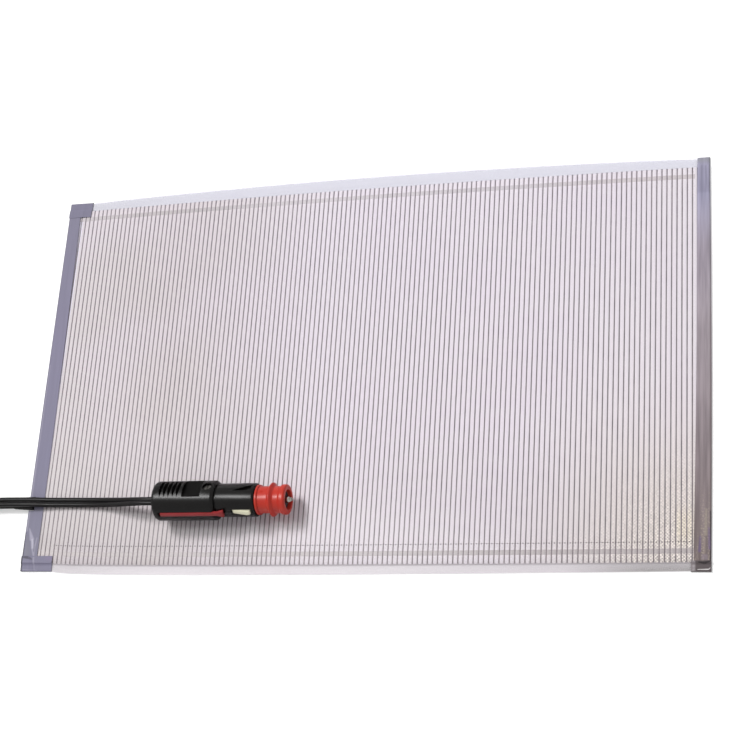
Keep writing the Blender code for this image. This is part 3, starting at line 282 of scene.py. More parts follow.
@dataclass(frozen=True)
class Stroke:
    """A soft line on a surface, drawn from one place to another in X and Y."""

    start: Pair
    end: Pair
    half_width: float
    end_half_width: float
    share: float
    colour: str
    soft: float = 0.25 * MM

    def mask(self, on: Surface) -> Socket:
        """Mask of the line, from the distance to it.

        Args:
            on: the surface.

        Returns:
            The line's share on it and 0 away from it.
        """
        run = Vector(self.end) - Vector(self.start)
        unit = run.normalized()
        x = on.math("SUBTRACT", on.axis("X"), self.start[0])
        y = on.math("SUBTRACT", on.axis("Y"), self.start[1])
        place = on.math("MULTIPLY_ADD", y, unit.y, on.math("MULTIPLY", x, unit.x))
        side = on.math("MULTIPLY_ADD", y, unit.x, on.math("MULTIPLY", x, -unit.y))
        half = on.span(place, 0.0, run.length, self.half_width, self.end_half_width)
        inside = on.math("SUBTRACT", half, on.math("ABSOLUTE", side))
        edge = on.span(inside, -self.soft, self.soft, 0.0, self.share)
        return on.math("MULTIPLY", edge, on.window(place, 0.0, run.length, self.soft))


def strokes(*rows: tuple) -> tuple[Stroke, ...]:
    """Strokes from rows in mm: from x, y, to x, y, both half widths, share, colour and maybe softness."""
    return tuple(Stroke(mm(x, y), mm(to_x, to_y), *mm(half, end_half), share, colour, *mm(*soft))
                 for x, y, to_x, to_y, half, end_half, share, colour, *soft in rows)


# ---------------------------------------------------------------- finishes


@dataclass(frozen=True)
class Finish:
    """A surface of one real material, drawn by nodes."""

    name: str
    colour: str
    roughness: float = 0.5
    metallic: float = 0.0
    ior: float = 1.5
    specular: float = 0.5

    def make(self) -> bpy.types.Material:
        """Build the material on first use.

        Returns:
            The material, the same one each time.
        """
        known = bpy.data.materials.get(self.name)
        if known:
            return known
        made = bpy.data.materials.new(self.name)
        made.diffuse_color = linear(self.colour)
        made.use_nodes = True
        tree = made.node_tree
        tree.nodes.clear()
        place = add_node(tree, "ShaderNodeTexCoord").outputs["Object"]
        shader = add_node(tree, "ShaderNodeBsdfPrincipled", {
            "Base Color": linear(self.colour), "Roughness": self.roughness,
            "Metallic": self.metallic, "IOR": self.ior, "Specular IOR Level": self.specular})
        add_node(tree, "ShaderNodeOutputMaterial", {"Surface": shader})
        self.draw(Surface(tree, place, shader))
        return made

    def draw(self, on: Surface) -> None:
        """Add the pattern of the surface.

        Args:
            on: the surface.
        """


@dataclass(frozen=True)
class GrainedFinish(Finish):
    """A surface with two tones in soft patches, a fine grain and a little unevenness in its gloss."""

    second: str = "#000000"
    patch: float = 12 * MM
    patch_amount: float = 0.5
    grain: float = 0.5 * MM
    stretch: Triple = (1.0, 1.0, 1.0)
    bump: float = 0.2
    bump_height: float = 0.02 * MM
    gloss_spread: float = 0.08
    # (place, colour) along X, where the first tone changes along the mat
    tones: Tones = ()

    def draw(self, on: Surface) -> None:
        """Add patches, grain and gloss variation.

        Args:
            on: the surface.
        """
        patches = on.noise(1 / self.patch, 3.0, self.stretch)
        first = on.tones(on.axis("X"), self.tones) if self.tones else self.colour
        on.feed(Base_Color=on.mix(on.span(patches, 0.35, 0.65, 0.0, self.patch_amount), first, self.second))
        grain = on.noise(1 / self.grain, 2.0, self.stretch)
        on.feed(Roughness=on.span(grain, 0.0, 1.0, self.roughness - self.gloss_spread,
                                  self.roughness + self.gloss_spread))
        on.relief(grain, self.bump, self.bump_height)


@dataclass(frozen=True)
class WovenCarrier(Finish):
    """White polyester leno weave: soft, matt, lilac and cream in turn, with speckle toward one corner."""

    # (place, colour) along X: partly the cloth's own tone, partly painted shade at the left and painted
    # light at the right that even out the key lamp's fall-off
    tones: Tones = ((-0.22, "#D8D0D1"), (-0.13, "#D6CDCE"), (-0.03, "#E6DEE5"), (0.10, "#EAE2E9"),
                    (0.22, "#E9E2E7"))
    lilac: str = "#E7DCE9"
    cream: str = "#EFE2C8"
    corner_tone: str = "#E5DCD6"
    # the four strips where the cream gathers
    cream_x: Pair = (0.2000, 0.2100)
    cream_y: Pair = (-0.1140, -0.0960)
    # film over the floor at the left side, where no cloth is seen
    side_strip: Pair = (-0.2120, -0.2092)
    side_tone: str = "#E4E1EE"
    pitch: float = 3.13 * MM
    first_thread: float = -0.210175
    # the knots show as dots, drawn at 1.9 mm so that they survive the picture's pixels
    weave: float = 1.9 * MM
    right_corner: Triple = (0.214, -0.122, 0.0015)
    left_corner: Triple = (-0.21, -0.13, 0.0015)
    cloud_share: float = 0.25
    grey_share: float = 0.75
    # shares of cream all round the corner, and added over the four strips
    cream_shares: Pair = (0.15, 0.42)
    # strength of the dots: away from the right corner, and in it; along the front end, left and right
    speckle: Pair = (0.02, 0.30)
    front_speckle: Pair = (0.04, 0.10)
    unevenness: float = 0.7
    band_depth: float = 0.022
    # how dark the painted shade beside each thread is
    painted_valley_shade: float = 0.24
    # painted shade: brightness at the front edge, and in its left and right corner
    painted_shade_levels: Triple = (0.92, 0.93, 0.97)

    def tone(self, on: Surface, away: Socket, near: Socket) -> Socket:
        """Tone of the cloth without its weave.

        Args:
            on: the surface.
            away: the distance from the front right corner.
            near: the mask that grows toward that corner.

        Returns:
            The tone.
        """
        clouds = on.span(on.noise(14.0, 1.0), 0.42, 0.62, 0.0, self.cloud_share)
        tinted = on.mix(clouds, on.tones(on.axis("X"), self.tones), self.lilac)
        greyed = on.mix(on.span(away, 0.02, 0.13, self.grey_share, 0.0, smooth=True), tinted,
                        self.corner_tone)
        gathered = on.math("MULTIPLY", on.window(on.axis("X"), *self.cream_x, 1.5 * MM),
                           on.window(on.axis("Y"), *self.cream_y, 5.0 * MM))
        around, more = self.cream_shares
        cream = on.math("MULTIPLY", near, on.math("MULTIPLY_ADD", gathered, more, around))
        warmed = on.mix(cream, greyed, self.cream)
        return on.mix(on.window(on.axis("X"), *self.side_strip, 0.25 * MM), warmed, self.side_tone)

    def dots(self, on: Surface, cross: Socket, near: Socket) -> Socket:
        """Dots of the knots, which sparkle toward the front right corner and a little along the front end.

        Args:
            on: the surface.
            cross: the weave's own pattern.
            near: the mask that grows toward that corner.

        Returns:
            How much lighter or darker the cloth is.
        """
        flecks = on.span(on.noise(1000.0, 1.0), 0.3, 0.7, -self.unevenness, self.unevenness)
        by_right = on.span(on.axis("X"), 0.10, 0.20, *self.front_speckle)
        by_front = on.span(on.axis("Y"), -0.118, -0.104, by_right, 0.0)
        strength = on.math("ADD", on.span(near, 0.0, 1.0, *self.speckle), by_front)
        return on.math("MULTIPLY", on.math("ADD", cross, flecks), strength)

    def painted_edge_shade(self, on: Surface, near: Socket) -> Socket:
        """Painted shade toward the front edge and both front corners.

        Args:
            on: the surface.
            near: the mask that grows toward the front right corner.

        Returns:
            1 away from the painted shade, and less in it.
        """
        front = on.span(on.axis("Y"), -0.126, -0.03, self.painted_shade_levels[0], 1.0, smooth=True)
        left = on.span(on.distance(self.left_corner), 0.03, 0.13, self.painted_shade_levels[1], 1.0)
        right = on.span(near, 0.0, 1.0, 1.0, self.painted_shade_levels[2])
        return on.math("MULTIPLY", front, on.math("MULTIPLY", left, right))

    def draw(self, on: Surface) -> None:
        """Add tone, faint stripes in each strip, painted shade beside the threads and toward the front edge,
        and the weave.

        Args:
            on: the surface.
        """
        away = on.distance(self.right_corner)
        near = on.span(away, 0.01, 0.085, 1.0, 0.0, smooth=True)
        warp, weft = (on.math("SINE", on.math("MULTIPLY", on.axis(name), math.tau / self.weave))
                      for name in "XY")
        cross = on.math("MULTIPLY", warp, weft)
        # three faint bands in each strip
        shifted = on.math("SUBTRACT", on.axis("X"), self.first_thread)
        bands = on.math("COSINE", on.math("MULTIPLY", shifted, 3 * math.tau / self.pitch))
        striped = on.math("MULTIPLY_ADD", bands, -self.band_depth, self.dots(on, cross, near))
        # painted shade beside each thread, where the cloth lies lower
        beside = on.math("COSINE", on.math("MULTIPLY", shifted, math.tau / self.pitch))
        shade = on.math("ADD", striped, on.span(beside, 0.15, 1.0, 0.0, -self.painted_valley_shade, smooth=True))
        light = on.math("ADD", shade, self.painted_edge_shade(on, near))
        on.feed(Base_Color=on.scaled(self.tone(on, away, near), light), Sheen_Weight=0.15)
        on.relief(cross, 0.5, 0.08 * MM)


@dataclass(frozen=True)
class TwistedYarn(Finish):
    """Dark carbon yarn bound by a fine white weft: a beaded line, matt, never quite black."""

    light: str = "#A89C9E"
    # the weft crosses every 1.05 mm
    bead: float = 1.05 * MM
    # how fast a bead turns across the yarn, which makes it lean
    lean: float = 3500.0
    bead_share: float = 0.55
    drift_share: float = 0.35

    def draw(self, on: Surface) -> None:
        """Add beads along Y, with a slower drift in how dark they are.

        Args:
            on: the surface.
        """
        turns = on.math("MULTIPLY", on.axis("Y"), math.tau / self.bead)
        beads = on.math("SINE", on.math("MULTIPLY_ADD", on.axis("X"), self.lean, turns))
        drift = on.span(on.noise(130.0), 0.35, 0.7, 0.0, self.drift_share)
        share = on.math("ADD", on.span(beads, 0.2, 1.0, 0.0, self.bead_share), drift, clamp=True)
        on.feed(Base_Color=on.mix(share, self.colour, self.light))
        on.relief(beads, 0.6, 0.06 * MM)


@dataclass(frozen=True)
class ClearFilm(Finish):
    """Thin polyester film, cast and laminated: slightly milky, glossy, greyer near the front edge."""

    alpha: float = 0.1
    warm_tone: str = "#E2DBE1"
    # (place, colour) along X, at the rear
    tones: Tones = ((-0.22, "#DCD9EC"), (0.22, "#DCD9EC"))
    front_tone: str = "#7C7674"
    front_edge: float = -0.134
    front_depth: float = 0.012
    # shares of the front tone at the left end and at the right end
    front_shares: Pair = (0.30, 0.95)

    def draw(self, on: Surface) -> None:
        """Add the tone toward the front right, and slow waves in the surface.

        Args:
            on: the surface.
        """
        front = on.span(on.axis("Y"), self.front_edge, self.front_edge + self.front_depth, 1.0, 0.0)
        left, right = self.front_shares
        sides = on.math("ADD", on.span(on.axis("X"), -0.20, -0.13, left, 0.0),
                        on.span(on.axis("X"), 0.135, 0.185, 0.0, right))
        warm = on.mix(on.span(on.axis("Y"), -0.10, 0.10), self.warm_tone,
                      on.tones(on.axis("X"), self.tones))
        on.feed(Base_Color=on.mix(on.math("MULTIPLY", front, sides), warm, self.front_tone),
                Alpha=self.alpha)
        on.relief(on.noise(55.0, 1.0), 0.12, 0.05 * MM)


@dataclass(frozen=True)
class VinylTape(Finish):
    """Calendered vinyl tape: grey violet, softly glossy, stretched in faint streaks along the edge."""

    # (place, colour) along the tape: along Y, or along X where cross is set
    tones: Tones = ()
    cross: bool = False
    fleck_tone: str = "#B9AD9C"
    flecks: float = 0.0
    fleck_size: float = 0.9 * MM
    fleck_front: float = -0.13
    fleck_reach: float = 0.055
    streak_depth: float = 0.04
    marks: tuple[Stroke, ...] = ()

    def draw(self, on: Surface) -> None:
        """Add tones and streaks along the tape, flecks where it is worn, and single marks.

        Args:
            on: the surface.
        """
        streaks = on.noise(500.0, 2.0, (0.05, 1.0, 1.0) if self.cross else (1.0, 0.05, 1.0))
        tone = on.scaled(on.tones(on.axis("X" if self.cross else "Y"), self.tones),
                         on.span(streaks, 0.3, 0.7, 1 - self.streak_depth, 1 + self.streak_depth))
        # flecks toward the front, gathered in a few of the streaks
        toward = on.span(on.axis("Y"), self.fleck_front, self.fleck_front + self.fleck_reach, 1.0, 0.0)
        spots = on.span(on.noise(1 / self.fleck_size, 1.0), 0.50, 0.66, 0.0, self.flecks)
        worn = on.math("MULTIPLY", on.math("MULTIPLY", spots, toward), on.span(streaks, 0.42, 0.58))
        tone = on.mix(worn, tone, self.fleck_tone)
        for mark in self.marks:
            tone = on.mix(mark.mask(on), tone, mark.colour)
        on.feed(Base_Color=tone,
                Roughness=on.span(streaks, 0.0, 1.0, self.roughness - 0.08, self.roughness + 0.10))
        on.relief(streaks, 0.25, 0.05 * MM)


@dataclass(frozen=True)
class FuseGlass(Finish):
    """Drawn soda glass: clear, with a bright rim."""

    def draw(self, on: Surface) -> None:
        """Let light through, with faint draw lines."""
        on.feed(Transmission_Weight=1.0)
        on.relief(on.noise(700.0), 0.1, 0.01 * MM)


# Polyester leno cloth, bleached: matt and soft to the eye, the light ground of the mat
CARRIER = WovenCarrier("polyester_leno_cloth", "#E3DBE1", roughness=0.85, specular=0.25)
# Carbon yarn, twisted: thin dark lines that look beaded where the white weft binds them
HEATING_YARN = TwistedYarn("twisted_carbon_yarn", "#51474C", roughness=0.75)
# Grey weft that binds the cloth's front end: a thin scalloped line
EDGE_YARN = TwistedYarn("grey_binding_yarn", "#B3AAAF", roughness=0.8, light="#CBC3C7")
# Carbon yarn worked as a running stitch: small dark dots
STITCH_YARN = TwistedYarn("stitching_yarn", "#483F42", roughness=0.8, light="#756B6D")
# What both busbar ribbons have in common
WOVEN_WIRES = {"roughness": 0.6, "metallic": 0.15, "patch": 4 * MM, "grain": 0.45 * MM,
               "stretch": (0.25, 1.0, 1.0), "bump": 0.5, "bump_height": 0.05 * MM, "patch_amount": 0.25}
# Tinned copper wires woven to a ribbon: a dull grey band with a soft metal gleam
TINNED_RIBBON = GrainedFinish("tinned_copper_ribbon", "#BFB8BB", second="#ABA4A4", tones=(
    (-0.22, "#BEB7B9"), (-0.15, "#B7AFAF"), (-0.11, "#B9B2B3"), (-0.07, "#C6BFC2"), (-0.03, "#CBC4C8"),
    (0.10, "#CAC3C8"), (0.16, "#CEC5C8"), (0.215, "#C7BEBF")), **WOVEN_WIRES)
# The same ribbon under the front row of stitches, where it shows darker
FRONT_RIBBON = GrainedFinish("stitched_copper_ribbon", "#BFB8BB", second="#A29A9A", tones=(
    (-0.22, "#BCB4B4"), (-0.18, "#B8B0B0"), (-0.06, "#B3ACAD"), (0.05, "#B1AAAC"), (0.13, "#ADA5A6"),
    (0.215, "#ACA3A2")), **WOVEN_WIRES)
# Polyester film over the warm face: nearly clear, a slight veil and gloss
COVER_FILM = ClearFilm("clear_polyester_film", "#DCD9EC", roughness=0.22, ior=1.57, alpha=0.045)
# Polyester film under the cloth: milkier, which shows in the plain margins; its tone along X is painted
# shade at the left and painted light at the right, to even out the lamps' fall-off and sheen
BACK_FILM = ClearFilm("milky_polyester_film", "#DCDBE8", roughness=0.30, ior=1.57, specular=0.04,
                      alpha=0.45, tones=((-0.22, "#D8D7E0"), (-0.15, "#E0DFE9"), (-0.11, "#E2E1EC"),
                                         (0.05, "#E8E7F2"), (0.22, "#EBEAF5")))
# Vinyl tape, little worn: grey violet with a soft gloss
CLEAN_TAPE = VinylTape("grey_vinyl_tape", "#7F7D8F", roughness=0.42, specular=0.08, tones=(
    (-0.132, "#7F7D8E"), (-0.06, "#7F7C91"), (0.03, "#827E93"), (0.13, "#827F91")), marks=strokes(
    # painted shade along the outer edge where the tape folds down, and a painted highlight on the fold
    # beside it in the front half
    (-219.8, -132.5, -219.8, -106.0, 1.1, 0.6, 0.9, "#4C4B50"),
    (-219.7, -106.0, -219.7, 130.0, 0.25, 0.45, 0.7, "#5D5B66"),
    (-218.8, -105.5, -218.6, 10.0, 0.5, 0.15, 0.55, "#A9A6B5", 0.35),
    # painted grey gloss where two tapes lie on each other
    (-216.0, -121.5, -217.5, -108.5, 2.2, 0.6, 0.45, "#85848C", 0.8),
    # the crease: a painted highlight in a bright wedge, a second painted highlight line that joins it, and a
    # painted shade line between them
    (-217.2, -103.3, -214.1, -111.2, 0.2, 1.5, 0.75, "#ABA7B9", 0.5),
    (-214.1, -110.5, -212.8, -117.1, 0.8, 0.7, 0.9, "#B9B6C6", 0.4),
    (-212.8, -117.1, -211.3, -122.5, 0.6, 0.5, 0.75, "#A5A2B4", 0.35),
    (-210.7, -109.5, -211.4, -115.2, 0.35, 0.5, 0.6, "#A29EAF"),
    (-211.4, -115.2, -211.2, -122.0, 0.5, 0.3, 0.5, "#9C99A9"),
    (-212.4, -113.0, -211.9, -119.0, 0.2, 0.4, 0.6, "#72707F")))
# The same tape over a corner: smoothed down by hand, with a fold and a raised seam
PATCH_TAPE = VinylTape("smoothed_vinyl_tape", "#7F7D8F", roughness=0.42, specular=0.08, tones=(
    (-0.132, "#7F7C90"), (0.13, "#7D7A8D")), marks=strokes(
    # painted shade along the outer edges at the rear, where the tape folds down
    (-220.0, 130.1, -202.0, 130.1, 0.5, 0.45, 0.85, "#4C4A52"),
    (-219.9, 120.0, -219.9, 130.0, 0.3, 0.4, 0.6, "#5D5B66"),
    # painted shadow under the fold at the front left patch's upper edge, and a light and a dark line along
    # its seam
    (-218.8, -122.4, -215.0, -122.9, 0.8, 0.9, 0.9, "#565460", 0.3),
    (-215.0, -122.9, -211.8, -124.2, 0.9, 0.4, 0.8, "#5E5C69", 0.3),
    (-218.8, -125.8, -198.4, -126.0, 0.22, 0.22, 0.45, "#9C98AC", 0.2),
    (-218.8, -126.5, -198.4, -126.7, 0.25, 0.25, 0.45, "#676478", 0.2),
    # painted highlight on the ridge where the patch lies over the end tape's edge, a painted shade line
    # beside it, and a light line along the front edge
    (-211.3, -122.6, -210.7, -127.0, 0.6, 0.5, 0.75, "#9E9BAC", 0.35),
    (-210.7, -127.0, -209.9, -131.0, 0.5, 0.4, 0.5, "#9693A6", 0.35),
    (-211.9, -125.0, -211.2, -130.5, 0.2, 0.3, 0.5, "#6F6D7C"),
    (-218.4, -130.8, -208.0, -131.1, 0.35, 0.15, 0.6, "#A29FB0", 0.25),
    # painted shade along the outer edges at the front, where the tape folds down
    (-219.8, -133.0, -219.8, -122.0, 0.8, 0.9, 0.9, "#4E4D54"),
    (-220.0, -132.2, -197.0, -132.6, 0.45, 0.3, 0.75, "#5A5866"),
    # it is thinner and more violet toward its right end
    (-203.0, -123.0, -197.5, -123.5, 1.2, 1.6, 0.35, "#8C7C9A", 0.8)))
# Vinyl tape, rubbed thin: warmer and mottled toward the front
WORN_TAPE = VinylTape("worn_vinyl_tape", "#8A8187", roughness=0.38, specular=0.08, flecks=0.8,
                      streak_depth=0.2, tones=(
    (-0.13, "#776B6A"), (-0.10, "#837778"), (-0.05, "#8D8286"), (0.02, "#9F959C"), (0.07, "#A198A4"),
    (0.1055, "#A19EB5"), (0.1062, "#9895AB"), (0.125, "#9794A9"), (0.1282, "#93929D")), marks=strokes(
    # painted shade along the outer edge, where the tape folds down
    (219.9, -131.0, 219.9, -96.0, 0.75, 0.6, 0.9, "#453F43", 0.3),
    (219.9, -96.0, 219.9, 30.0, 0.6, 0.3, 0.6, "#6A6262", 0.3),
    (219.9, 30.0, 219.9, 130.0, 0.3, 0.35, 0.5, "#6C6B69"),
    # lilac where the rubbed tape lifts from the film
    (213.9, -111.0, 213.4, -120.5, 0.35, 0.8, 0.6, "#6A5B85", 0.4),
    (218.7, -106.0, 219.0, -119.0, 0.5, 0.7, 0.55, "#705F87", 0.4),
    # rubbed streaks, cream with the dust in them
    (217.3, -95.0, 216.8, -111.0, 0.5, 0.9, 0.35, "#B5AB99", 0.5),
    (216.2, -112.0, 216.1, -121.5, 0.7, 0.5, 0.35, "#AFA197", 0.5),
    (216.2, -121.8, 216.2, -125.0, 1.7, 1.9, 0.45, "#988B96", 0.5)))
# Vinyl tape folded on itself: the darkest of the tapes
DARK_TAPE = VinylTape("doubled_vinyl_tape", "#4A4445", roughness=0.3, specular=0.2, cross=True, tones=(
    (0.2080, "#8B8386"), (0.2108, "#80787B"), (0.2114, "#5A5253"), (0.2200, "#564E50")), marks=strokes(
    # painted shade in the deep fold, a painted highlight where the fold catches the light, and painted shade
    # along the outer edge
    (212.6, -126.2, 216.2, -126.8, 0.3, 0.7, 0.85, "#2F2A2C"),
    (216.2, -126.8, 219.7, -125.6, 0.7, 0.4, 0.85, "#2F2A2C"),
    (212.2, -130.5, 218.5, -130.4, 0.16, 0.28, 0.9, "#E9E4E4", 0.15),
    (218.5, -130.4, 219.4, -129.4, 0.28, 0.15, 0.85, "#DAD4D5", 0.15),
    (208.5, -131.8, 220.0, -132.0, 0.25, 0.35, 0.7, "#4A4345")))
# PVC, extruded round two cores: black, satin, with fine lines along it
CORD_PVC = GrainedFinish("extruded_black_pvc", "#0D0B0C", roughness=0.36, second="#141112", patch=9 * MM,
                         grain=0.7 * MM, stretch=(0.3, 1.0, 1.0), bump=0.15, specular=0.16)
# ABS, moulded in an eroded tool: black with a fine even grain and a broad soft highlight
BLACK_ABS = GrainedFinish("moulded_black_abs", "#0B0909", roughness=0.26, second="#110F0E", patch=6 * MM,
                          grain=0.35 * MM, bump=0.3, gloss_spread=0.06, specular=0.17)
# The same on the recessed thumb pad, smoother, and painted darker and duller for the shade in the recess:
# the darkest part of the plug
SHADED_PAD_ABS = GrainedFinish("shaded_pad_black_abs", "#080707", roughness=0.5, second="#0B0A09", patch=6 * MM,
                          grain=0.6 * MM, bump=0.05, specular=0.06)
# Polyamide, moulded plain: the black inner pieces, smoother than the housing
BLACK_NYLON = GrainedFinish("moulded_black_polyamide", "#151415", roughness=0.45, second="#1E1D1E",
                            patch=5 * MM, specular=0.35)
# Polypropylene, moulded and glossy: bright red with orange where the light falls
RED_PP = GrainedFinish("moulded_red_polypropylene", "#B82D22", roughness=0.33, second="#C23A24",
                       patch=7 * MM, grain=0.8 * MM, bump=0.06, gloss_spread=0.04, specular=0.28)
# The same plastic on the lock bar, rubbed by thumbs: a little duller and cooler, and painted darker for the
# shade of the groove it lies in
RED_SLIDE = GrainedFinish("rubbed_shaded_red_polypropylene", "#8F2C2C", roughness=0.36, second="#9A3037",
                          patch=5 * MM, grain=0.6 * MM, bump=0.15, specular=0.2)
# Brass with a pale plating, stamped: creamy and dull, with lines along the strip
PLATED_BRASS = GrainedFinish("plated_stamped_brass", "#D8D5BC", roughness=0.42, metallic=0.55,
                             second="#C2BEA2", patch=3 * MM, grain=0.25 * MM, stretch=(0.2, 1.0, 1.0))
# Steel with bright chrome: a mirror, with dark rings painted round it that stand in for reflections
CHROMED_STEEL = GrainedFinish("bright_chromed_steel", "#B5B0AA", roughness=0.18, metallic=1.0,
                              second="#4F4742", patch=1.6 * MM, patch_amount=0.9, grain=0.3 * MM,
                              stretch=(1.6, 0.3, 0.3), gloss_spread=0.06, bump=0.1)
# Zinc-plated steel, the housing screw's dull grey head: painted dark for the shade of its deep recess
DARK_ZINC = GrainedFinish("dark_zinc_plated_steel", "#5F5C59", roughness=0.34, metallic=1.0,
                          second="#4C4947", patch=2 * MM, grain=0.3 * MM)
# PVC round a single lead: black and smooth
LEAD_PVC = GrainedFinish("smooth_black_lead_pvc", "#2B2A2C", roughness=0.42, second="#343235",
                         patch=6 * MM, grain=0.6 * MM)
# Glass tube of the fuse: clear with a bright rim
FUSE_TUBE = FuseGlass("drawn_fuse_glass", "#F2F7F6", roughness=0.03, ior=1.52)


# ---------------------------------------------------------------- making and handing over


def smooth_faces(mesh: bpy.types.Mesh, degrees: float) -> None:
    """Shade a mesh smooth, apart from the edges sharper than an angle."""
    mesh.shade_smooth()
    mesh.set_sharp_from_angle(angle=math.radians(degrees))


def new_object(name: str, shape: bmesh.types.BMesh, smooth_degrees: float | None = 30.0) -> Piece:
    """Turn a bmesh into an object at the origin, with its faces outwards.

    Args:
        name: the piece's name.
        shape: the bmesh, freed here.
        smooth_degrees: edges sharper than this stay hard; None leaves every face flat.

    Returns:
        The new object, linked to the scene.
    """
    bmesh.ops.recalc_face_normals(shape, faces=shape.faces)
    mesh = bpy.data.meshes.new(name)
    shape.to_mesh(mesh)
    shape.free()
    if smooth_degrees is not None:
        smooth_faces(mesh, smooth_degrees)
    made = bpy.data.objects.new(name, mesh)
    bpy.context.scene.collection.objects.link(made)
    return made


def hand_over(piece: Piece, body: Body, finish: Finish, replaces: Sequence[str] = ()) -> str:
    """Give a piece its finish and its body, and report it.

    Args:
        piece: the finished object.
        body: the body that it rides on.
        finish: what its surface is.
        replaces: CAD nodes that it stands for.

    Returns:
        The piece's name.
    """
    piece.data.materials.clear()
    piece.data.materials.append(finish.make())
    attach(piece, body.value)
    if replaces:
        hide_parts(*replaces)
    LOG.info("%s on %s: %d faces, %s", piece.name, body.value, len(piece.data.polygons), finish.name)
    return piece.name


def dress_node(name: str, finish: Finish) -> None:
    """Give a CAD node that stays in view its finish.

    Args:
        name: the node.
        finish: what its surface is.
    """
    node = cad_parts[name]
    if not node.material_slots:
        node.data.materials.append(finish.make())
    for held in node.material_slots:
        held.material = finish.make()
    LOG.info("%s kept, %s", name, finish.name)


def apply_modifier(piece: Piece, modifier: bpy.types.Modifier) -> None:
    """Keep what a modifier makes of a piece, and remove the modifier.

    Args:
        piece: the object.
        modifier: its modifier.
    """
    depsgraph = bpy.context.evaluated_depsgraph_get()
    mesh = bpy.data.meshes.new_from_object(piece.evaluated_get(depsgraph), depsgraph=depsgraph)
    piece.modifiers.remove(modifier)
    piece.data = mesh


def join_rows(shape: bmesh.types.BMesh, first: Sequence[bmesh.types.BMVert],
              second: Sequence[bmesh.types.BMVert]) -> None:
    """Join two closed rows of equally many corners with a ring of faces.

    Args:
        shape: the bmesh.
        first: one row.
        second: the other row.
    """
    for i in range(len(first)):
        j = (i + 1) % len(first)
        shape.faces.new((first[i], first[j], second[j], second[i]))


def rings_to_shape(rings: Sequence[Sequence[Vector]]) -> bmesh.types.BMesh:
    """Join rings of points into a closed skin.

    Args:
        rings: equal rings, in order along the piece.

    Returns:
        The bmesh.
    """
    shape = bmesh.new()
    rows = [[shape.verts.new(point) for point in ring] for ring in rings]
    for first, second in zip(rows, rows[1:]):
        join_rows(shape, first, second)
    shape.faces.new(rows[0])
    shape.faces.new(rows[-1])
    return shape


def slab(name: str, columns: Sequence[Sequence[Triple]], under: Sequence[Sequence[Triple]],
         smooth_degrees: float = 30.0) -> Piece:
    """Close a thin sheet between an upper and an under grid of the same size.

    Args:
        name: the piece's name.
        columns: upper points, column by column.
        under: the points under them.
        smooth_degrees: as in new_object.

    Returns:
        The new object.
    """
    shape = bmesh.new()
    top, low = ([[shape.verts.new(point) for point in column] for column in grid]
                for grid in (columns, under))
    wide, deep = len(top), len(top[0])
    for i in range(wide - 1):
        for j in range(deep - 1):
            shape.faces.new((top[i][j], top[i + 1][j], top[i + 1][j + 1], top[i][j + 1]))
            shape.faces.new((low[i][j], low[i][j + 1], low[i + 1][j + 1], low[i + 1][j]))
        for j in (0, deep - 1):
            shape.faces.new((top[i][j], low[i][j], low[i + 1][j], top[i + 1][j]))
    for j in range(deep - 1):
        for i in (0, wide - 1):
            shape.faces.new((top[i][j], top[i][j + 1], low[i][j + 1], low[i][j]))
    return new_object(name, shape, smooth_degrees)


def arc(centre: Pair, radius: float, start: float, end: float, steps: int) -> list[Pair]:
    """Points on part of a circle, from one angle in degrees to another, both ends included."""
    angles = [math.radians(start + (end - start) * i / steps) for i in range(steps + 1)]
    return [(centre[0] + radius * math.cos(a), centre[1] + radius * math.sin(a)) for a in angles]


def filleted(outline: Sequence[Pair], radius: float, steps: int = 3, closed: bool = False) -> list[Pair]:
    """Round the corners of an outline.

    Args:
        outline: its corners.
        radius: how far from a corner the rounding starts.
        steps: the number of steps in each rounding.
        closed: whether the last corner joins the first.

    Returns:
        The rounded outline.
    """
    points = [Vector(point) for point in outline]
    rounded: list[Pair] = []
    for i, corner in enumerate(points):
        if not closed and i in (0, len(points) - 1):
            rounded.append(tuple(corner))
            continue
        before, after = points[i - 1], points[(i + 1) % len(points)]
        reach = min(radius, (before - corner).length * 0.45, (after - corner).length * 0.45)
        start = corner + (before - corner).normalized() * reach
        end = corner + (after - corner).normalized() * reach
        for step in range(steps + 1):
            t = step / steps
            rounded.append(tuple(start * (1 - t) ** 2 + corner * 2 * t * (1 - t) + end * t * t))
    return rounded


def rounded_box(half_width: float, half_height: float, radius: float, steps: int) -> list[Pair]:
    """Outline of a box round the origin with rounded corners, as in filleted."""
    return filleted([(-half_width, -half_height), (half_width, -half_height), (half_width, half_height),
                     (-half_width, half_height)], radius, steps, True)


def geometry_tree(name: str, sizes: dict[str, float]) -> tuple[Tree, dict[str, Socket]]:
    """Start a Geometry Nodes tree with named inputs.

    Args:
        name: the tree's name.
        sizes: each named input and its value.

    Returns:
        The tree and its inputs, with the lines that it is run on as "Lines".
    """
    tree = bpy.data.node_groups.new(name, "GeometryNodeTree")
    tree.interface.new_socket(name="Geometry", in_out="INPUT", socket_type="NodeSocketGeometry")
    for label, value in sizes.items():
        socket = tree.interface.new_socket(name=label, in_out="INPUT", socket_type="NodeSocketFloat")
        socket.default_value = value
    tree.interface.new_socket(name="Geometry", in_out="OUTPUT", socket_type="NodeSocketGeometry")
    given = add_node(tree, "NodeGroupInput")
    lines = add_node(tree, "GeometryNodeMeshToCurve", {"Mesh": given.outputs["Geometry"]})
    return tree, {"Lines": lines.outputs[0], **{label: given.outputs[label] for label in sizes}}


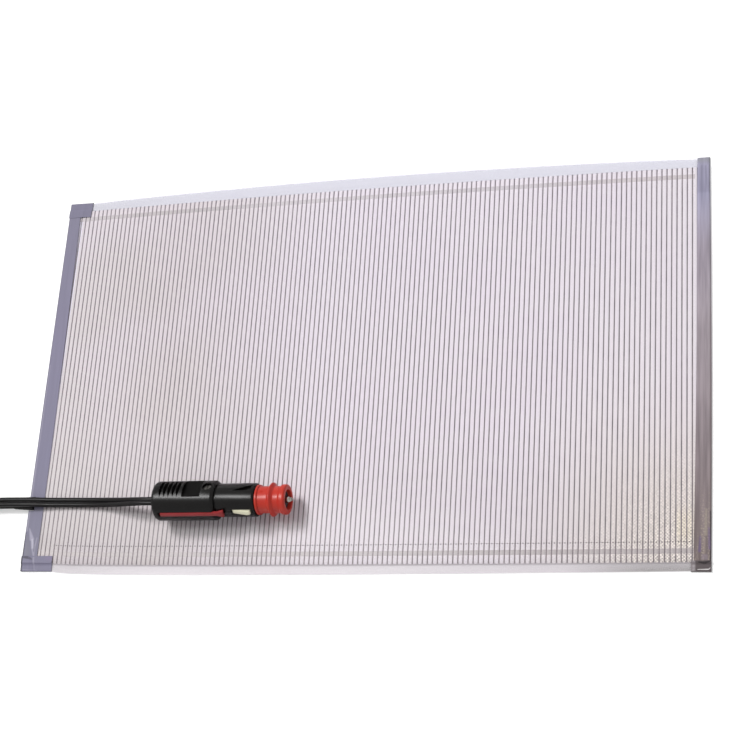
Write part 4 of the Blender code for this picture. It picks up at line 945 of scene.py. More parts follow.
def finish_tree(tree: Tree, made: Node, finish: Finish) -> None:
    """End a Geometry Nodes tree: plain mesh, smooth, with its material.

    Args:
        tree: the tree.
        made: the node that gives the geometry.
        finish: what its surface is.
    """
    real = add_node(tree, "GeometryNodeRealizeInstances", {"Geometry": made})
    smooth = add_node(tree, "GeometryNodeSetShadeSmooth", {"Geometry": real})
    dressed = add_node(tree, "GeometryNodeSetMaterial", {"Geometry": smooth, "Material": finish.make()})
    add_node(tree, "NodeGroupOutput", {"Geometry": dressed})


def grow(name: str, lines: Sequence[Sequence[Triple]], tree: Tree, sizes: dict[str, float]) -> Piece:
    """Run a Geometry Nodes tree on a set of lines and keep the result as a plain mesh.

    Args:
        name: the piece's name.
        lines: the points of each line.
        tree: the tree.
        sizes: values of its named inputs, where they aren't the tree's own.

    Returns:
        The new object, with no modifier left.
    """
    shape = bmesh.new()
    for line in lines:
        row = [shape.verts.new(point) for point in line]
        for first, second in zip(row, row[1:]):
            shape.edges.new((first, second))
    made = new_object(name, shape, None)
    grown = made.modifiers.new(name, "NODES")
    grown.node_group = tree
    for item in tree.interface.items_tree:
        if item.item_type == "SOCKET" and item.in_out == "INPUT" and item.name in sizes:
            grown[item.identifier] = sizes[item.name]
    apply_modifier(made, grown)
    return made


def held(value: float) -> float:
    """Hold a share between 0 and 1."""
    return min(max(value, 0.0), 1.0)


def eased(share: float) -> float:
    """Ease a share in and out."""
    return share * share * (3 - 2 * share)


# ---------------------------------------------------------------- the mat


@dataclass(frozen=True)
class MatOutline:
    """The mat's outline and the heights of its layers, as the CAD has them."""

    left: float = -0.220
    right: float = 0.220
    front: float = -0.1318017
    rear: float = 0.1299983
    front_bulge: float = 0.0026
    front_peak: float = 0.22
    front_span: Pair = (0.0222, 0.0116)
    rear_bulge: float = 0.0044
    rear_peak: float = 0.50
    rear_span: Pair = (0.0168, 0.0098)
    cloth_bulges: Pair = (0.0014, 0.0017)
    fullness: float = 0.8
    fold_inset: float = 0.0006
    exit_y: float = -0.0868017
    margin_top: float = 0.95 * MM
    cover_top: float = 1.70 * MM
    # the film rises over the cloth's edge from step_start inwards
    step_start: float = 3.4 * MM
    step_width: float = 1.8 * MM
    rear_extra: float = 0.8 * MM

    def bulge(self, x: float, span: Pair, peak: float) -> float:
        """Share of a bulge at x.

        Args:
            x: the place along the mat.
            span: how far from each side the bulge starts.
            peak: where its peak is, as a share of its length.

        Returns:
            0 at its ends and 1 at its peak.
        """
        start, end = self.left + span[0], self.right - span[1]
        wave = math.sin(math.pi * held((x - start) / (end - start)) ** (math.log(0.5) / math.log(peak)))
        return max(wave, 0.0) ** self.fullness

    def front_at(self, x: float, bulge: float | None = None) -> float:
        """The front outline's y at x, with the film's bulge or a given one."""
        reach = self.front_bulge if bulge is None else bulge
        return self.front - (reach * self.bulge(x, self.front_span, self.front_peak) - self.fold_inset)

    def rear_at(self, x: float, bulge: float | None = None) -> float:
        """The rear outline's y at x, with the film's bulge or a given one."""
        reach = self.rear_bulge if bulge is None else bulge
        return self.rear + (reach * self.bulge(x, self.rear_span, self.rear_peak) - self.fold_inset)

    def cloth_front(self, x: float, inset: float) -> float:
        """The line that the cloth's front end follows, which bulges less, moved inwards by inset."""
        return self.front_at(x, self.cloth_bulges[0]) + inset

    def cloth_rear(self, x: float, inset: float) -> float:
        """The line that the cloth's rear end follows, which bulges less, moved inwards by inset."""
        return self.rear_at(x, self.cloth_bulges[1]) - inset

    def film_top(self, x: float, y: float) -> float:
        """Height of the cover film: low along both margins and high over the cloth.

        Args:
            x: the place along the mat.
            y: the place across it.

        Returns:
            The height.
        """
        inside = min(y - self.cloth_front(x, 0.0), self.cloth_rear(x, self.rear_extra) - y)
        share = eased(held((inside - self.step_start) / self.step_width))
        return self.margin_top + (self.cover_top - self.margin_top) * share


@dataclass
class Laminate:
    """Films, ribbed carrier cloth, heating threads, busbars and the running stitch."""

    outline: MatOutline
    pitch: float = 3.13 * MM
    threads: int = 136
    first_thread: float = -0.210175
    cloth_span: Pair = (-0.2118, 0.2140)
    cloth_insets: Pair = (5.0 * MM, 5.8 * MM)
    cloth_low: float = 0.70 * MM
    valley: float = 1.00 * MM
    crest: float = 1.22 * MM
    tongue: float = 1.0 * MM
    columns_per_strip: int = 8
    film_span: Pair = (-0.2158, 0.2188)
    film_columns: int = 280
    thread_width: float = 0.70 * MM
    thread_height: float = 0.18 * MM
    thread_level: float = 1.17 * MM
    # how far the threads' ends and the yarn across them lie inside the cloth's ends
    thread_insets: Pair = (0.3 * MM, 0.1 * MM)
    edge_inset: float = -0.28 * MM
    edge_level: float = 1.13 * MM
    edge_width: float = 0.27 * MM
    ribbon_width: float = 3.0 * MM
    ribbon_thickness: float = 0.04 * MM
    ribbon_gap: float = 0.02 * MM
    ribbon_insets: Pair = (11.6 * MM, 12.1 * MM)
    # the busbars and the stitch end short of the last thread
    ribbon_end: float = 0.2110
    stitch_inset: float = 17.0 * MM
    stitch_level: float = 1.27 * MM
    stitch_pitch: float = 1.565 * MM
    stitch_start: float = -0.1985

    def rib(self, x: float) -> float:
        """Shape of the strips across the mat.

        Args:
            x: the place along the mat.

        Returns:
            The height of the cloth's upper face, as a share from valley to crest.
        """
        place = (x - self.first_thread) / self.pitch
        if place < 0 or place > self.threads - 1:
            return 0.2
        return 1 - abs(2 * (place % 1.0) - 1) ** 4

    def cloth_top(self, x: float) -> float:
        """Height of the cloth's upper face at x."""
        return self.valley + (self.crest - self.valley) * self.rib(x)

    def strip_columns(self, per_strip: int) -> list[float]:
        """Places across the mat that follow the strips.

        Args:
            per_strip: the number of columns in each strip.

        Returns:
            The x of each column, the cloth's two sides included.
        """
        count = (self.threads - 1) * per_strip
        inner = [self.first_thread + self.pitch * i / per_strip for i in range(count + 1)]
        return [self.cloth_span[0]] + inner + [self.cloth_span[1]]

    def build_cloth(self) -> None:
        """Make the carrier: one strip between each pair of threads, with rounded ends."""
        rows = [0.0, 0.003, 0.007] + [0.02 + 0.06 * i for i in range(17)] + [0.993, 0.997, 1.0]
        top, low = [], []
        for x in self.strip_columns(self.columns_per_strip):
            place = (x - self.first_thread) / self.pitch
            across = min(1.0, abs(2 * (place % 1.0) - 1))
            cut_back = self.tongue * (1 - math.sqrt(max(0.0, 1 - across * across)))
            start = self.outline.cloth_front(x, self.cloth_insets[0] + cut_back)
            end = self.outline.cloth_rear(x, self.cloth_insets[1] + cut_back)
            upper, lower = [], []
            for t in rows:
                edge = min(t, 1 - t)
                rise = 0.35 if edge == 0 else 0.8 if edge < 0.005 else 1.0
                y = start + (end - start) * t
                upper.append((x, y, self.cloth_low + (self.cloth_top(x) - self.cloth_low) * rise))
                lower.append((x, y, self.cloth_low))
            top.append(upper)
            low.append(lower)
        cloth = slab("woven_carrier_cloth", top, low, 50.0)
        hand_over(cloth, Body.MAT, CARRIER, ["carrier_fabric"])

    def build_films(self) -> None:
        """Make the back film and the cover film that steps down along its margins."""
        left, right = self.film_span
        # (inset, upper height, under height), from the edge inwards
        steps = [mm(*step) for step in ((0.0, 0.95, 0.70), (3.6, 0.95, 0.70), (4.0, 1.02, 0.77),
                                        (4.5, 1.60, 1.35), (5.0, 1.70, 1.45))]
        # the upper and the under columns of each film
        cover, back = ([], []), ([], [])
        for i in range(self.film_columns + 1):
            x = left + (right - left) * i / self.film_columns
            front, rear = self.outline.front_at(x), self.outline.rear_at(x)
            places = [(self.outline.cloth_front(x, inset) if inset else front, heights)
                      for inset, *heights in steps]
            places += [(front + (rear - front) * share, steps[-1][1:]) for share in (0.2, 0.4, 0.6, 0.8)]
            places += [(self.outline.cloth_rear(x, inset + self.outline.rear_extra) if inset else rear,
                        heights) for inset, *heights in reversed(steps)]
            for side, height in enumerate(mm(0.65, 0.40)):
                cover[side].append([(x, y, heights[side]) for y, heights in places])
                back[side].append([(x, front + (rear - front) * share / 8, height) for share in range(9)])
        cover_sheet = slab("cover_film_sheet", *cover)
        hand_over(cover_sheet, Body.MAT, COVER_FILM, ["cover_film"])
        back_sheet = slab("back_film_sheet", *back)
        hand_over(back_sheet, Body.MAT, BACK_FILM, ["back_film"])

    def thread_tree(self) -> Tree:
        """Make the tree that sweeps a flattened yarn along each line.

        Returns:
            The tree, with the yarn's width, flatness and level as inputs.
        """
        tree, given = geometry_tree("yarn_along_lines", {
            "Width": self.thread_width, "Flatness": self.thread_height / self.thread_width,
            "Level": self.thread_level})
        ring = add_node(tree, "GeometryNodeCurvePrimitiveCircle", {
            "Resolution": 8, "Radius": Sketch(tree).math("MULTIPLY", given["Width"], 0.5)})
        swept = add_node(tree, "GeometryNodeCurveToMesh", {
            "Curve": given["Lines"], "Profile Curve": ring, "Fill Caps": True})
        level = add_node(tree, "ShaderNodeCombineXYZ", {"Z": given["Level"]})
        squeeze = add_node(tree, "ShaderNodeCombineXYZ", {"X": 1.0, "Y": 1.0, "Z": given["Flatness"]})
        centred = add_node(tree, "ShaderNodeVectorMath", {
            0: add_node(tree, "GeometryNodeInputPosition"), 1: level}, operation="SUBTRACT")
        flat = add_node(tree, "ShaderNodeVectorMath", {0: centred, 1: squeeze, 2: level},
                        operation="MULTIPLY_ADD")
        placed = add_node(tree, "GeometryNodeSetPosition", {"Geometry": swept, "Position": flat})
        finish_tree(tree, placed, HEATING_YARN)
        return tree

    def build_threads(self) -> None:
        """Lay a heating thread in each valley of the cloth, and one across the front ends."""
        tree = self.thread_tree()
        lines = []
        for i in range(self.threads):
            x = self.first_thread + i * self.pitch
            start = self.outline.cloth_front(x, self.cloth_insets[0] + self.thread_insets[0])
            end = self.outline.cloth_rear(x, self.cloth_insets[1] + self.thread_insets[1])
            lines.append([(x, start + (end - start) * share / 12, self.thread_level) for share in range(13)])
        threads = grow("heating_yarns", lines, tree, {})
        hand_over(threads, Body.MAT, HEATING_YARN, ["heating_threads"])
        binder = [(x, self.outline.cloth_front(x, self.cloth_insets[0] + self.edge_inset), self.edge_level)
                  for x in self.strip_columns(1)]
        edge = grow("front_edge_yarn", [binder], tree, {
            "Width": self.edge_width, "Flatness": 0.5, "Level": self.edge_level})
        hand_over(edge, Body.MAT, EDGE_YARN)

    def build_ribbons(self) -> None:
        """Lay both busbars over the strips, under the upper side of the threads."""
        columns = [self.outline.left + 1.1 * MM] + [x for x in self.strip_columns(4) if x < self.ribbon_end]
        half, thickness = self.ribbon_width / 2, self.ribbon_thickness
        lines = (self.outline.cloth_front, self.outline.cloth_rear)
        for name, line, inset, finish in zip(("front_busbar", "rear_busbar"), lines, self.ribbon_insets,
                                             (FRONT_RIBBON, TINNED_RIBBON)):
            rings = []
            for x in columns:
                y, z = line(x, inset), self.cloth_top(x) + self.ribbon_gap
                rings.append([Vector((x, y + a, z + b)) for a, b in (
                    (-half, 0.0), (half, 0.0), (half, thickness), (-half, thickness))])
            ribbon = new_object(f"{name}_ribbon", rings_to_shape(rings))
            hand_over(ribbon, Body.MAT, finish, [name])

    def build_stitches(self) -> None:
        """Work the running stitch along the front busbar."""
        tree, given = geometry_tree("running_stitch", {
            "Pitch": self.stitch_pitch, "Length": 0.50 * MM, "Width": 0.36 * MM, "Height": 0.09 * MM})
        spots = add_node(tree, "GeometryNodeCurveToPoints", {
            "Curve": given["Lines"], "Length": given["Pitch"]}, mode="LENGTH")
        bead = add_node(tree, "GeometryNodeMeshUVSphere", {"Segments": 8, "Rings": 5, "Radius": 1.0})
        size = add_node(tree, "ShaderNodeCombineXYZ", {
            "X": given["Length"], "Y": given["Width"], "Z": given["Height"]})
        laid = add_node(tree, "GeometryNodeInstanceOnPoints", {
            "Points": spots, "Instance": bead, "Scale": size})
        finish_tree(tree, laid, STITCH_YARN)
        line = [(x, self.outline.cloth_front(x, self.stitch_inset), self.stitch_level)
                for x in self.strip_columns(2) if self.stitch_start < x < self.ribbon_end]
        hand_over(grow("running_stitches", [line], tree, {}), Body.MAT, STITCH_YARN)

    def build(self) -> None:
        """Build every layer from the back film up."""
        self.build_films()
        self.build_cloth()
        self.build_threads()
        self.build_ribbons()
        self.build_stitches()


@dataclass(frozen=True)
class Crease:
    """A raised crease in a tape: a line over the tape's face, and its height."""

    # points as (distance from the mat's left side, distance from its front)
    line: tuple[Pair, ...] = tuple(mm_points((1.2, 29.3), (6.6, 14.8), (9.1, 1.9), (9.3, 0.0)))
    height: float = 0.38 * MM
    half_width: float = 0.55 * MM
    fade_length: float = 9 * MM
    # on its left side it slopes down over this width
    slope: float = 3.2 * MM

    def lift(self, across: float, along: float) -> float:
        """Height that the crease adds.

        Args:
            across: distance from the mat's left side.
            along: distance from the mat's front.

        Returns:
            The added height, 0 away from the crease.
        """
        for (x0, y0), (x1, y1) in zip(self.line, self.line[1:]):
            if y1 <= along <= y0:
                off = across - (x0 + (x1 - x0) * (y0 - along) / (y0 - y1))
                break
        else:
            return 0.0
        fade = min(1.0, (self.line[0][1] - along) / self.fade_length)
        ridge = math.exp(-(off / self.half_width) ** 2)
        if off < 0:
            ridge = max(ridge, 0.75 * max(0.0, 1 + off / self.slope))
        return self.height * fade * ridge


@dataclass
class FoldedTape:
    """One tape folded round an edge of the mat."""

    name: str
    node: str
    finish: Finish
    edge: float
    inward: int
    width: float
    low: float
    start: float
    end: float
    along_x: bool = False
    thickness: float = 0.15 * MM
    clearance: float = 0.05 * MM
    crease: Crease | None = None
    seam: float | None = None
    outline: MatOutline = MatOutline()
    far_width: float | None = None
    # 1 narrows evenly along the tape, 2 narrows mostly toward the far end
    taper: float = 1.0
    bow: float = 0.0
    # what lies under a corner tape: how far the left and the right end tape reach in, and how high
    under_widths: Pair = (11.6 * MM, 10.4 * MM)
    under_height: float = 0.20 * MM
    under_fade: float = 0.8 * MM
    seam_height: float = 0.10 * MM
    seam_width: float = 0.45 * MM
    wave_height: float = 0.03 * MM
    leg_steps: int = 14
    bend_steps: int = 8
    fine: float = 0.6 * MM
    coarse: float = 1.2 * MM
    # a creased end tape has this many fine sections, then this many up to its end
    creased_counts: tuple[int, int] = (52, 110)

    def ground(self, x: float, y: float) -> float:
        """Height of what lies under the tape's upper leg.

        Args:
            x: the place along the mat.
            y: the place across it.

        Returns:
            The film's height, and over an end tape that tape's height too.
        """
        level = self.outline.film_top(x, y)
        if self.along_x:
            for side, width in zip((self.outline.left, self.outline.right), self.under_widths):
                level += self.under_height * held((width - abs(x - side)) / self.under_fade)
        return level

    def reach(self, station: float) -> float:
        """Width of the tape's legs.

        Args:
            station: the place along the edge.

        Returns:
            The width there.
        """
        if self.far_width is None:
            return self.width
        share = (station - self.start) / (self.end - self.start)
        return self.width + (self.far_width - self.width) * share ** self.taper

    def lift(self, point: Vector) -> float:
        """Height that the crease, the seam and slight waves add at a point of its upper face.

        Args:
            point: the place on the tape.

        Returns:
            The added height.
        """
        added = 0.0
        if self.crease:
            added += self.crease.lift(point.x - self.outline.left, point.y - self.outline.front)
        if self.seam is not None:
            off = (point.y - self.edge) * self.inward - self.seam
            added += self.seam_height * math.exp(-(off / self.seam_width) ** 2)
        # slight waves, since the tape was smoothed down by hand
        waves = math.sin(point.x * 410 + point.y * 173) * math.sin(point.y * 291 + 1.3)
        return added + self.wave_height * waves

    def spot(self, station: float, across: float) -> Pair:
        """X and Y of a place along and across the tape."""
        return (station, across) if self.along_x else (across, station)

    def section(self, station: float) -> list[Vector]:
        """Closed section of the tape at one station along it.

        Args:
            station: the place along the edge.

        Returns:
            Its points: along the outside from the upper leg to the lower one, and back inside.
        """
        share = (station - self.start) / (self.end - self.start)
        edge = self.edge - self.inward * self.bow * math.sin(math.pi * share)
        over = self.thickness + self.clearance
        high = over + self.ground(*self.spot(station, edge + self.inward * 1.5 * MM))
        middle, outer = (self.low + high) / 2, (high - self.low) / 2
        width = self.reach(station)
        ring: list[Vector] = []
        legs = [1 - i / self.leg_steps for i in range(self.leg_steps + 1)]
        for radius, flip in ((outer, 1), (outer - self.thickness, -1)):
            upper = [(outer + (width - outer) * leg, radius) for leg in legs]
            bend = [(outer + x, z) for x, z in arc((0, 0), radius, 90, 270, self.bend_steps)][1:-1]
            side = []
            for distance, height in upper + bend + [(outer, -radius), (width, -radius)]:
                place = self.spot(station, edge + self.inward * distance)
                point = Vector((*place, middle + height))
                if height > 0:
                    settle = self.ground(point.x, point.y) + over - high
                    point.z += (self.lift(point) + settle) * min(1.0, distance / (2 * outer))
                side.append(point)
            ring += side[::flip]
        return ring

    def stations(self) -> list[float]:
        """Place the sections along the tape, closer where it is creased.

        Returns:
            The places.
        """
        if self.crease and not self.along_x:
            fine, rest = self.creased_counts
            near = [self.start + self.fine * i for i in range(fine)]
            return near + [near[-1] + (self.end - near[-1]) * i / rest for i in range(1, rest + 1)]
        length = self.end - self.start
        count = max(2, round(length / (self.fine if self.along_x else self.coarse)))
        return [self.start + length * i / count for i in range(count + 1)]

    def build(self) -> Piece:
        """Make the tape.

        Returns:
            The piece, riding on the mat.
        """
        rings = [self.section(place) for place in self.stations()]
        tape = new_object(self.name, rings_to_shape(rings), 40.0)
        hand_over(tape, Body.MAT, self.finish, [self.node])
        return tape


@dataclass
class TapedEdges:
    """End tapes round both short edges and the tapes over three corners."""

    outline: MatOutline
    end_inset: float = 1.05 * MM
    boot_half: float = 4.6 * MM

    def build(self) -> None:
        """Make the five tapes, and open the left one where the cord boot leaves it."""
        o = self.outline
        low = 0.20 * MM
        left = FoldedTape("left_fold_tape", "left_end_tape", CLEAN_TAPE, o.left, 1, 11.0 * MM, low,
                          o.front + self.end_inset, o.rear - self.end_inset, crease=Crease(),
                          far_width=8.4 * MM, taper=2.0).build()
        carve(left, block("boot_notch", (o.left - 2 * MM, o.exit_y - self.boot_half, -2 * MM),
                          (o.left + 4.2 * MM, o.exit_y + self.boot_half, 5 * MM)))
        FoldedTape("right_fold_tape", "right_end_tape", WORN_TAPE, o.right, -1, 10.0 * MM, low,
                   o.front + self.end_inset, o.rear, far_width=7.7 * MM, bow=0.6 * MM).build()
        FoldedTape("rear_left_patch", "rear_left_corner_tape", PATCH_TAPE, o.rear, -1, 11.2 * MM, 0.0,
                   o.left, o.left + 16.8 * MM, along_x=True).build()
        FoldedTape("front_left_patch", "front_left_corner_tape", PATCH_TAPE, o.front, 1, 10.0 * MM, 0.0,
                   o.left, o.left + 22.2 * MM, along_x=True, crease=Crease(), seam=6.3 * MM).build()
        FoldedTape("front_right_patch", "front_right_corner_tape", DARK_TAPE, o.front, 1, 6.3 * MM, 0.0,
                   o.right - 11.6 * MM, o.right, along_x=True, seam=1.6 * MM).build()


# ---------------------------------------------------------------- solid work for the plug


def block(name: str, low: Triple, high: Triple, place: Matrix | None = None) -> Piece:
    """A rectangular cutter or blank.

    Args:
        name: its name.
        low: its lowest corner.
        high: its highest corner.
        place: moves it into the row frame.

    Returns:
        The object.
    """
    shape = bmesh.new()
    bmesh.ops.create_cube(shape, size=1.0)
    for vert in shape.verts:
        vert.co = Vector([a + (b - a) * (c + 0.5) for a, b, c in zip(low, high, vert.co)])
    if place:
        shape.transform(place)
    return new_object(name, shape, None)


def prism(name: str, outline: Sequence[Pair], low: float, high: float, axis: str, place: Matrix) -> Piece:
    """Extrude an outline along an axis of the plug's frame.

    Args:
        name: its name.
        outline: its corners: (y, z) along x, (x, z) along y, or (x, y) along z.
        low: where it starts on the axis.
        high: where it ends.
        axis: x, y or z.
        place: moves it into the row frame.

    Returns:
        The object.
    """
    order = {"x": lambda a, b, c: (c, a, b), "y": lambda a, b, c: (a, c, b), "z": lambda a, b, c: (a, b, c)}
    shape = rings_to_shape([[Vector(order[axis](a, b, level)) for a, b in outline] for level in (low, high)])
    shape.transform(place)
    return new_object(name, shape, None)


def turned(name: str, profile: Sequence[Pair], place: Matrix, segments: int = 96,
           bored: bool = False) -> Piece:
    """Turn a profile about the plug's x axis.

    Args:
        name: its name.
        profile: (x, radius) points; a solid one starts and ends on the axis.
        place: moves it into the row frame.
        segments: steps round the axis.
        bored: whether the profile closes on itself round a bore.

    Returns:
        The object.
    """
    shape = bmesh.new()
    rings = []
    for x, radius in profile:
        count = 1 if radius == 0 else segments
        rings.append([shape.verts.new((x, radius * math.cos(math.tau * i / segments),
                                       radius * math.sin(math.tau * i / segments)))
                      for i in range(count)])
    for first, second in list(zip(rings, rings[1:])) + ([(rings[-1], rings[0])] if bored else []):
        for i in range(segments):
            j = (i + 1) % segments
            corners = [first[i % len(first)], first[j % len(first)],
                       second[j % len(second)], second[i % len(second)]]
            corners = [c for n, c in enumerate(corners) if c not in corners[:n]]
            if len(corners) > 2:
                shape.faces.new(corners)
    shape.transform(place)
    return new_object(name, shape, 28.0)


def carve(piece: Piece, cutter: Piece, operation: str = "DIFFERENCE") -> None:
    """Apply an exact Boolean and remove the cutter.

    Args:
        piece: the object that is cut.
        cutter: the tool.
        operation: the Boolean's kind.
    """
    cut = piece.modifiers.new("carve", "BOOLEAN")
    cut.object = cutter
    cut.operation = operation
    cut.solver = "EXACT"
    apply_modifier(piece, cut)
    bpy.data.objects.remove(cutter)


def soften(piece: Piece, width: float, smooth_degrees: float = 28.0) -> None:
    """Break the sharp edges of a cut piece with a small bevel.

    Args:
        piece: the object.
        width: the bevel's width.
        smooth_degrees: edges sharper than this stay hard afterwards.
    """
    shape = bmesh.new()
    shape.from_mesh(piece.data)
    bmesh.ops.remove_doubles(shape, verts=shape.verts, dist=2e-6)
    bmesh.ops.dissolve_limit(shape, angle_limit=math.radians(0.4), verts=shape.verts, edges=shape.edges)
    shape.to_mesh(piece.data)
    shape.free()
    bevel = piece.modifiers.new("soften", "BEVEL")
    bevel.width = width
    bevel.segments = 2
    bevel.limit_method = "ANGLE"
    bevel.angle_limit = math.radians(32)
    bevel.use_clamp_overlap = True
    apply_modifier(piece, bevel)
    smooth_faces(piece.data, smooth_degrees)


def sided(side: int, first: float, last: float) -> Pair:
    """Both limits of a span on one side of the axis, in order."""
    low, high = sorted((side * first, side * last))
    return low, high


def slide_outline(start: float, end: float, half: float, head_half: float, head_length: float) -> list[Pair]:
    """Corners (x, z) of the lock bar, which flares over its head's length."""
    return [(start, -half), (end - head_length, -half), (end, -head_half), (end, head_half),
            (end - head_length, half), (start, half)]


@dataclass(frozen=True)
class PlugSizes:
    """Sizes of the plug along and round its own x axis, as the CAD has them."""

    rear: Triple = (-0.1218, -0.0897017, 0.0144)
    roll: float = -31.5
    body_radius: float = 0.0124
    body_length: float = 0.0419
    ring_gap: float = 0.0011
    ring_radius: float = 0.0096
    neck_radius: float = 0.01045
    neck_end: float = 0.0679
    gap: float = 0.0003
    cavity_start: float = 0.0140
    cavity_radius: float = 0.0090
    cavity_end: float = 0.0433
    nose_start: float = 0.0443
    nose_radius: float = 0.0060
    flange_radius: float = 0.0074
    flange_length: float = 0.0020
    contact_width: float = 0.0028
    contact_radius: float = 0.0082
    contact_thickness: float = 0.0006
    slot: Pair = (0.0529, 0.0667)
    crest: float = 0.0123
    cord_width: float = 0.0064
    cord_thickness: float = 0.0032
    screw_x: float = 0.0371
    screw_radius: float = 0.00145
    # the lock bar: rear end, front end, half width and half the head's width, and its two sides in y
    bar: tuple[float, ...] = (0.0057, 0.0482, 0.0013, 0.0026)
    bar_sides: Pair = (-0.0129, -0.0109)

    def place(self) -> Matrix:
        """Matrix that moves the plug's own frame into the row frame."""
        return Matrix.Translation(self.rear) @ Matrix.Rotation(math.radians(self.roll), 4, "X")


@dataclass
class PlugHousing:
    """Two moulded half shells with grips, thumb pad, lock groove and screw recess."""

    sizes: PlugSizes
    rear_round: float = 2.5 * MM
    seam: float = 0.3 * MM
    groove_count: int = 5
    groove_pitch: float = 2.93 * MM
    groove_first: float = 6.4 * MM
    groove_half: float = 1.2 * MM
    groove_floor: float = 0.12 * MM
    groove_depth: float = 2.2 * MM
    pad: Triple = (21.2 * MM, 33.5 * MM, 2.3 * MM)
    post_radius: float = 3.7 * MM
    over: float = 2.0 * MM
    body_chamfer: float = 1.5 * MM
    neck_chamfer: float = 0.9 * MM
    fillet: float = 0.35 * MM
    edge: float = 0.16 * MM
    # the screw: radius and floor of its head's recess, and where its blind hole ends
    recess: Pair = (3.0 * MM, 9.2 * MM)
    screw_end: float = -6.8 * MM
    clamp_room: tuple[Triple, Triple] = (mm(5.7, -4.5, 0.0), mm(11.3, 4.5, 4.6))
    # a shallow pocket in the upper side of the neck, and its depth
    pocket: tuple[Pair, ...] = tuple(mm_points((53.5, -2.3), (64.3, -2.3), (65.8, -0.8), (65.8, 2.8)))
    pocket_depth: float = 1.5 * MM

    def blank(self, name: str) -> Piece:
        """Turn the outer form of the housing.

        Args:
            name: the shell's name.

        Returns:
            The blank.
        """
        s = self.sizes
        start = s.body_length + s.ring_gap
        body, neck = self.body_chamfer, self.neck_chamfer
        front = filleted([
            (s.body_length - 4 * body, s.body_radius), (s.body_length - body, s.body_radius),
            (s.body_length, s.body_radius - body), (s.body_length, s.ring_radius),
            (start, s.ring_radius), (start, s.neck_radius), (s.neck_end - neck, s.neck_radius),
            (s.neck_end, s.neck_radius - neck), (s.neck_end, 0.004)], self.fillet)
        rear = arc((self.rear_round, s.body_radius - self.rear_round), self.rear_round, 180, 90, 7)
        return turned(name, [(0.0, 0.0)] + rear + front + [(s.neck_end, 0.0)], s.place())

    def upright(self, x: float, radius: float, low: float, high: float, steps: int) -> Piece:
        """Round cutter that stands across the plug's seam at x, with as many sides as steps."""
        outline = [(x + a, b) for a, b in arc((0, 0), radius, 0, 360 - 360 / steps, steps - 1)]
        return prism("round_tool", outline, low, high, "z", self.sizes.place())

    def cavity(self) -> Piece:
        """Make the tool for the room inside, less the screw boss.

        Returns:
            The cutter.
        """
        s = self.sizes
        bore, flange = s.nose_radius + s.gap, s.flange_radius + s.gap
        behind, ahead = s.nose_start - s.gap, s.nose_start + s.flange_length + s.gap
        front = s.neck_end + self.over
        room = turned("room_tool", [
            (s.cavity_start, 0), (s.cavity_start, s.cavity_radius), (s.cavity_end, s.cavity_radius),
            (s.cavity_end, bore), (behind, bore), (behind, flange), (ahead, flange), (ahead, bore),
            (front, bore), (front, 0)], s.place(), 64)
        carve(room, self.upright(s.screw_x, self.post_radius, -s.body_radius, s.body_radius, 24))
        return room

    def shared_tools(self) -> list[Piece]:
        """Make the tools that cut both shells.

        Returns:
            The cutters.
        """
        s, place, gap, over = self.sizes, self.sizes.place(), self.sizes.gap, self.over
        passage = rounded_box(s.cord_width / 2 + gap, s.cord_thickness / 2 + gap, 1.4 * MM, 4)
        tools = [self.cavity(), prism("passage_tool", passage, -over, s.cavity_start + over, "x", place)]
        half = s.contact_width / 2 + gap
        thick = s.contact_thickness
        for side in (-1, 1):
            # room for the arm, the slot that the contact stands out of, and the room that it swings in
            for (x, to_x), (low, high) in (
                    ((s.cavity_end - over, s.slot[0] + over),
                     sided(side, s.contact_radius - thick, s.contact_radius + thick + gap)),
                    (s.slot, sided(side, s.nose_radius - over, s.crest + over)),
                    ((s.nose_start + s.flange_length, s.slot[0] + over),
                     sided(side, s.nose_radius, s.contact_radius + thick))):
                tools.append(block("contact_tool", (x, low, -half), (to_x, high, half), place))
        start, end, bar_half, head_half = s.bar
        groove = slide_outline(start - 1.2 * MM - gap, end, bar_half + gap, head_half + gap, 5.8 * MM)
        tools.append(prism("lock_groove_tool", groove, s.bar_sides[0] - over, s.bar_sides[1] + gap, "y",
                           place))
        return tools

    def grip_tools(self, side: int) -> list[Piece]:
        """Make the tools for the V grooves and the thumb pad of one shell.

        Args:
            side: 1 for the upper shell and -1 for the lower one.

        Returns:
            The cutters.
        """
        s, place = self.sizes, self.sizes.place()
        low, high = side * (s.body_radius - self.groove_depth), side * (s.body_radius + self.over)
        half = self.groove_half / self.groove_depth * (self.groove_depth + self.over)
        tools = []
        for i in range(self.groove_count):
            x = self.groove_first + i * self.groove_pitch
            outline = [(x - self.groove_floor, low), (x + self.groove_floor, low), (x + half, high),
                       (x - half, high)]
            tools.append(prism("grip_tool", outline, -s.body_radius, s.body_radius, "y", place))
        ends = sided(side, s.body_radius - self.pad[2], s.body_radius + self.over)
        tools.append(block("pad_tool", (self.pad[0], -s.body_radius, ends[0]),
                           (self.pad[1], s.body_radius, ends[1]), place))
        return tools

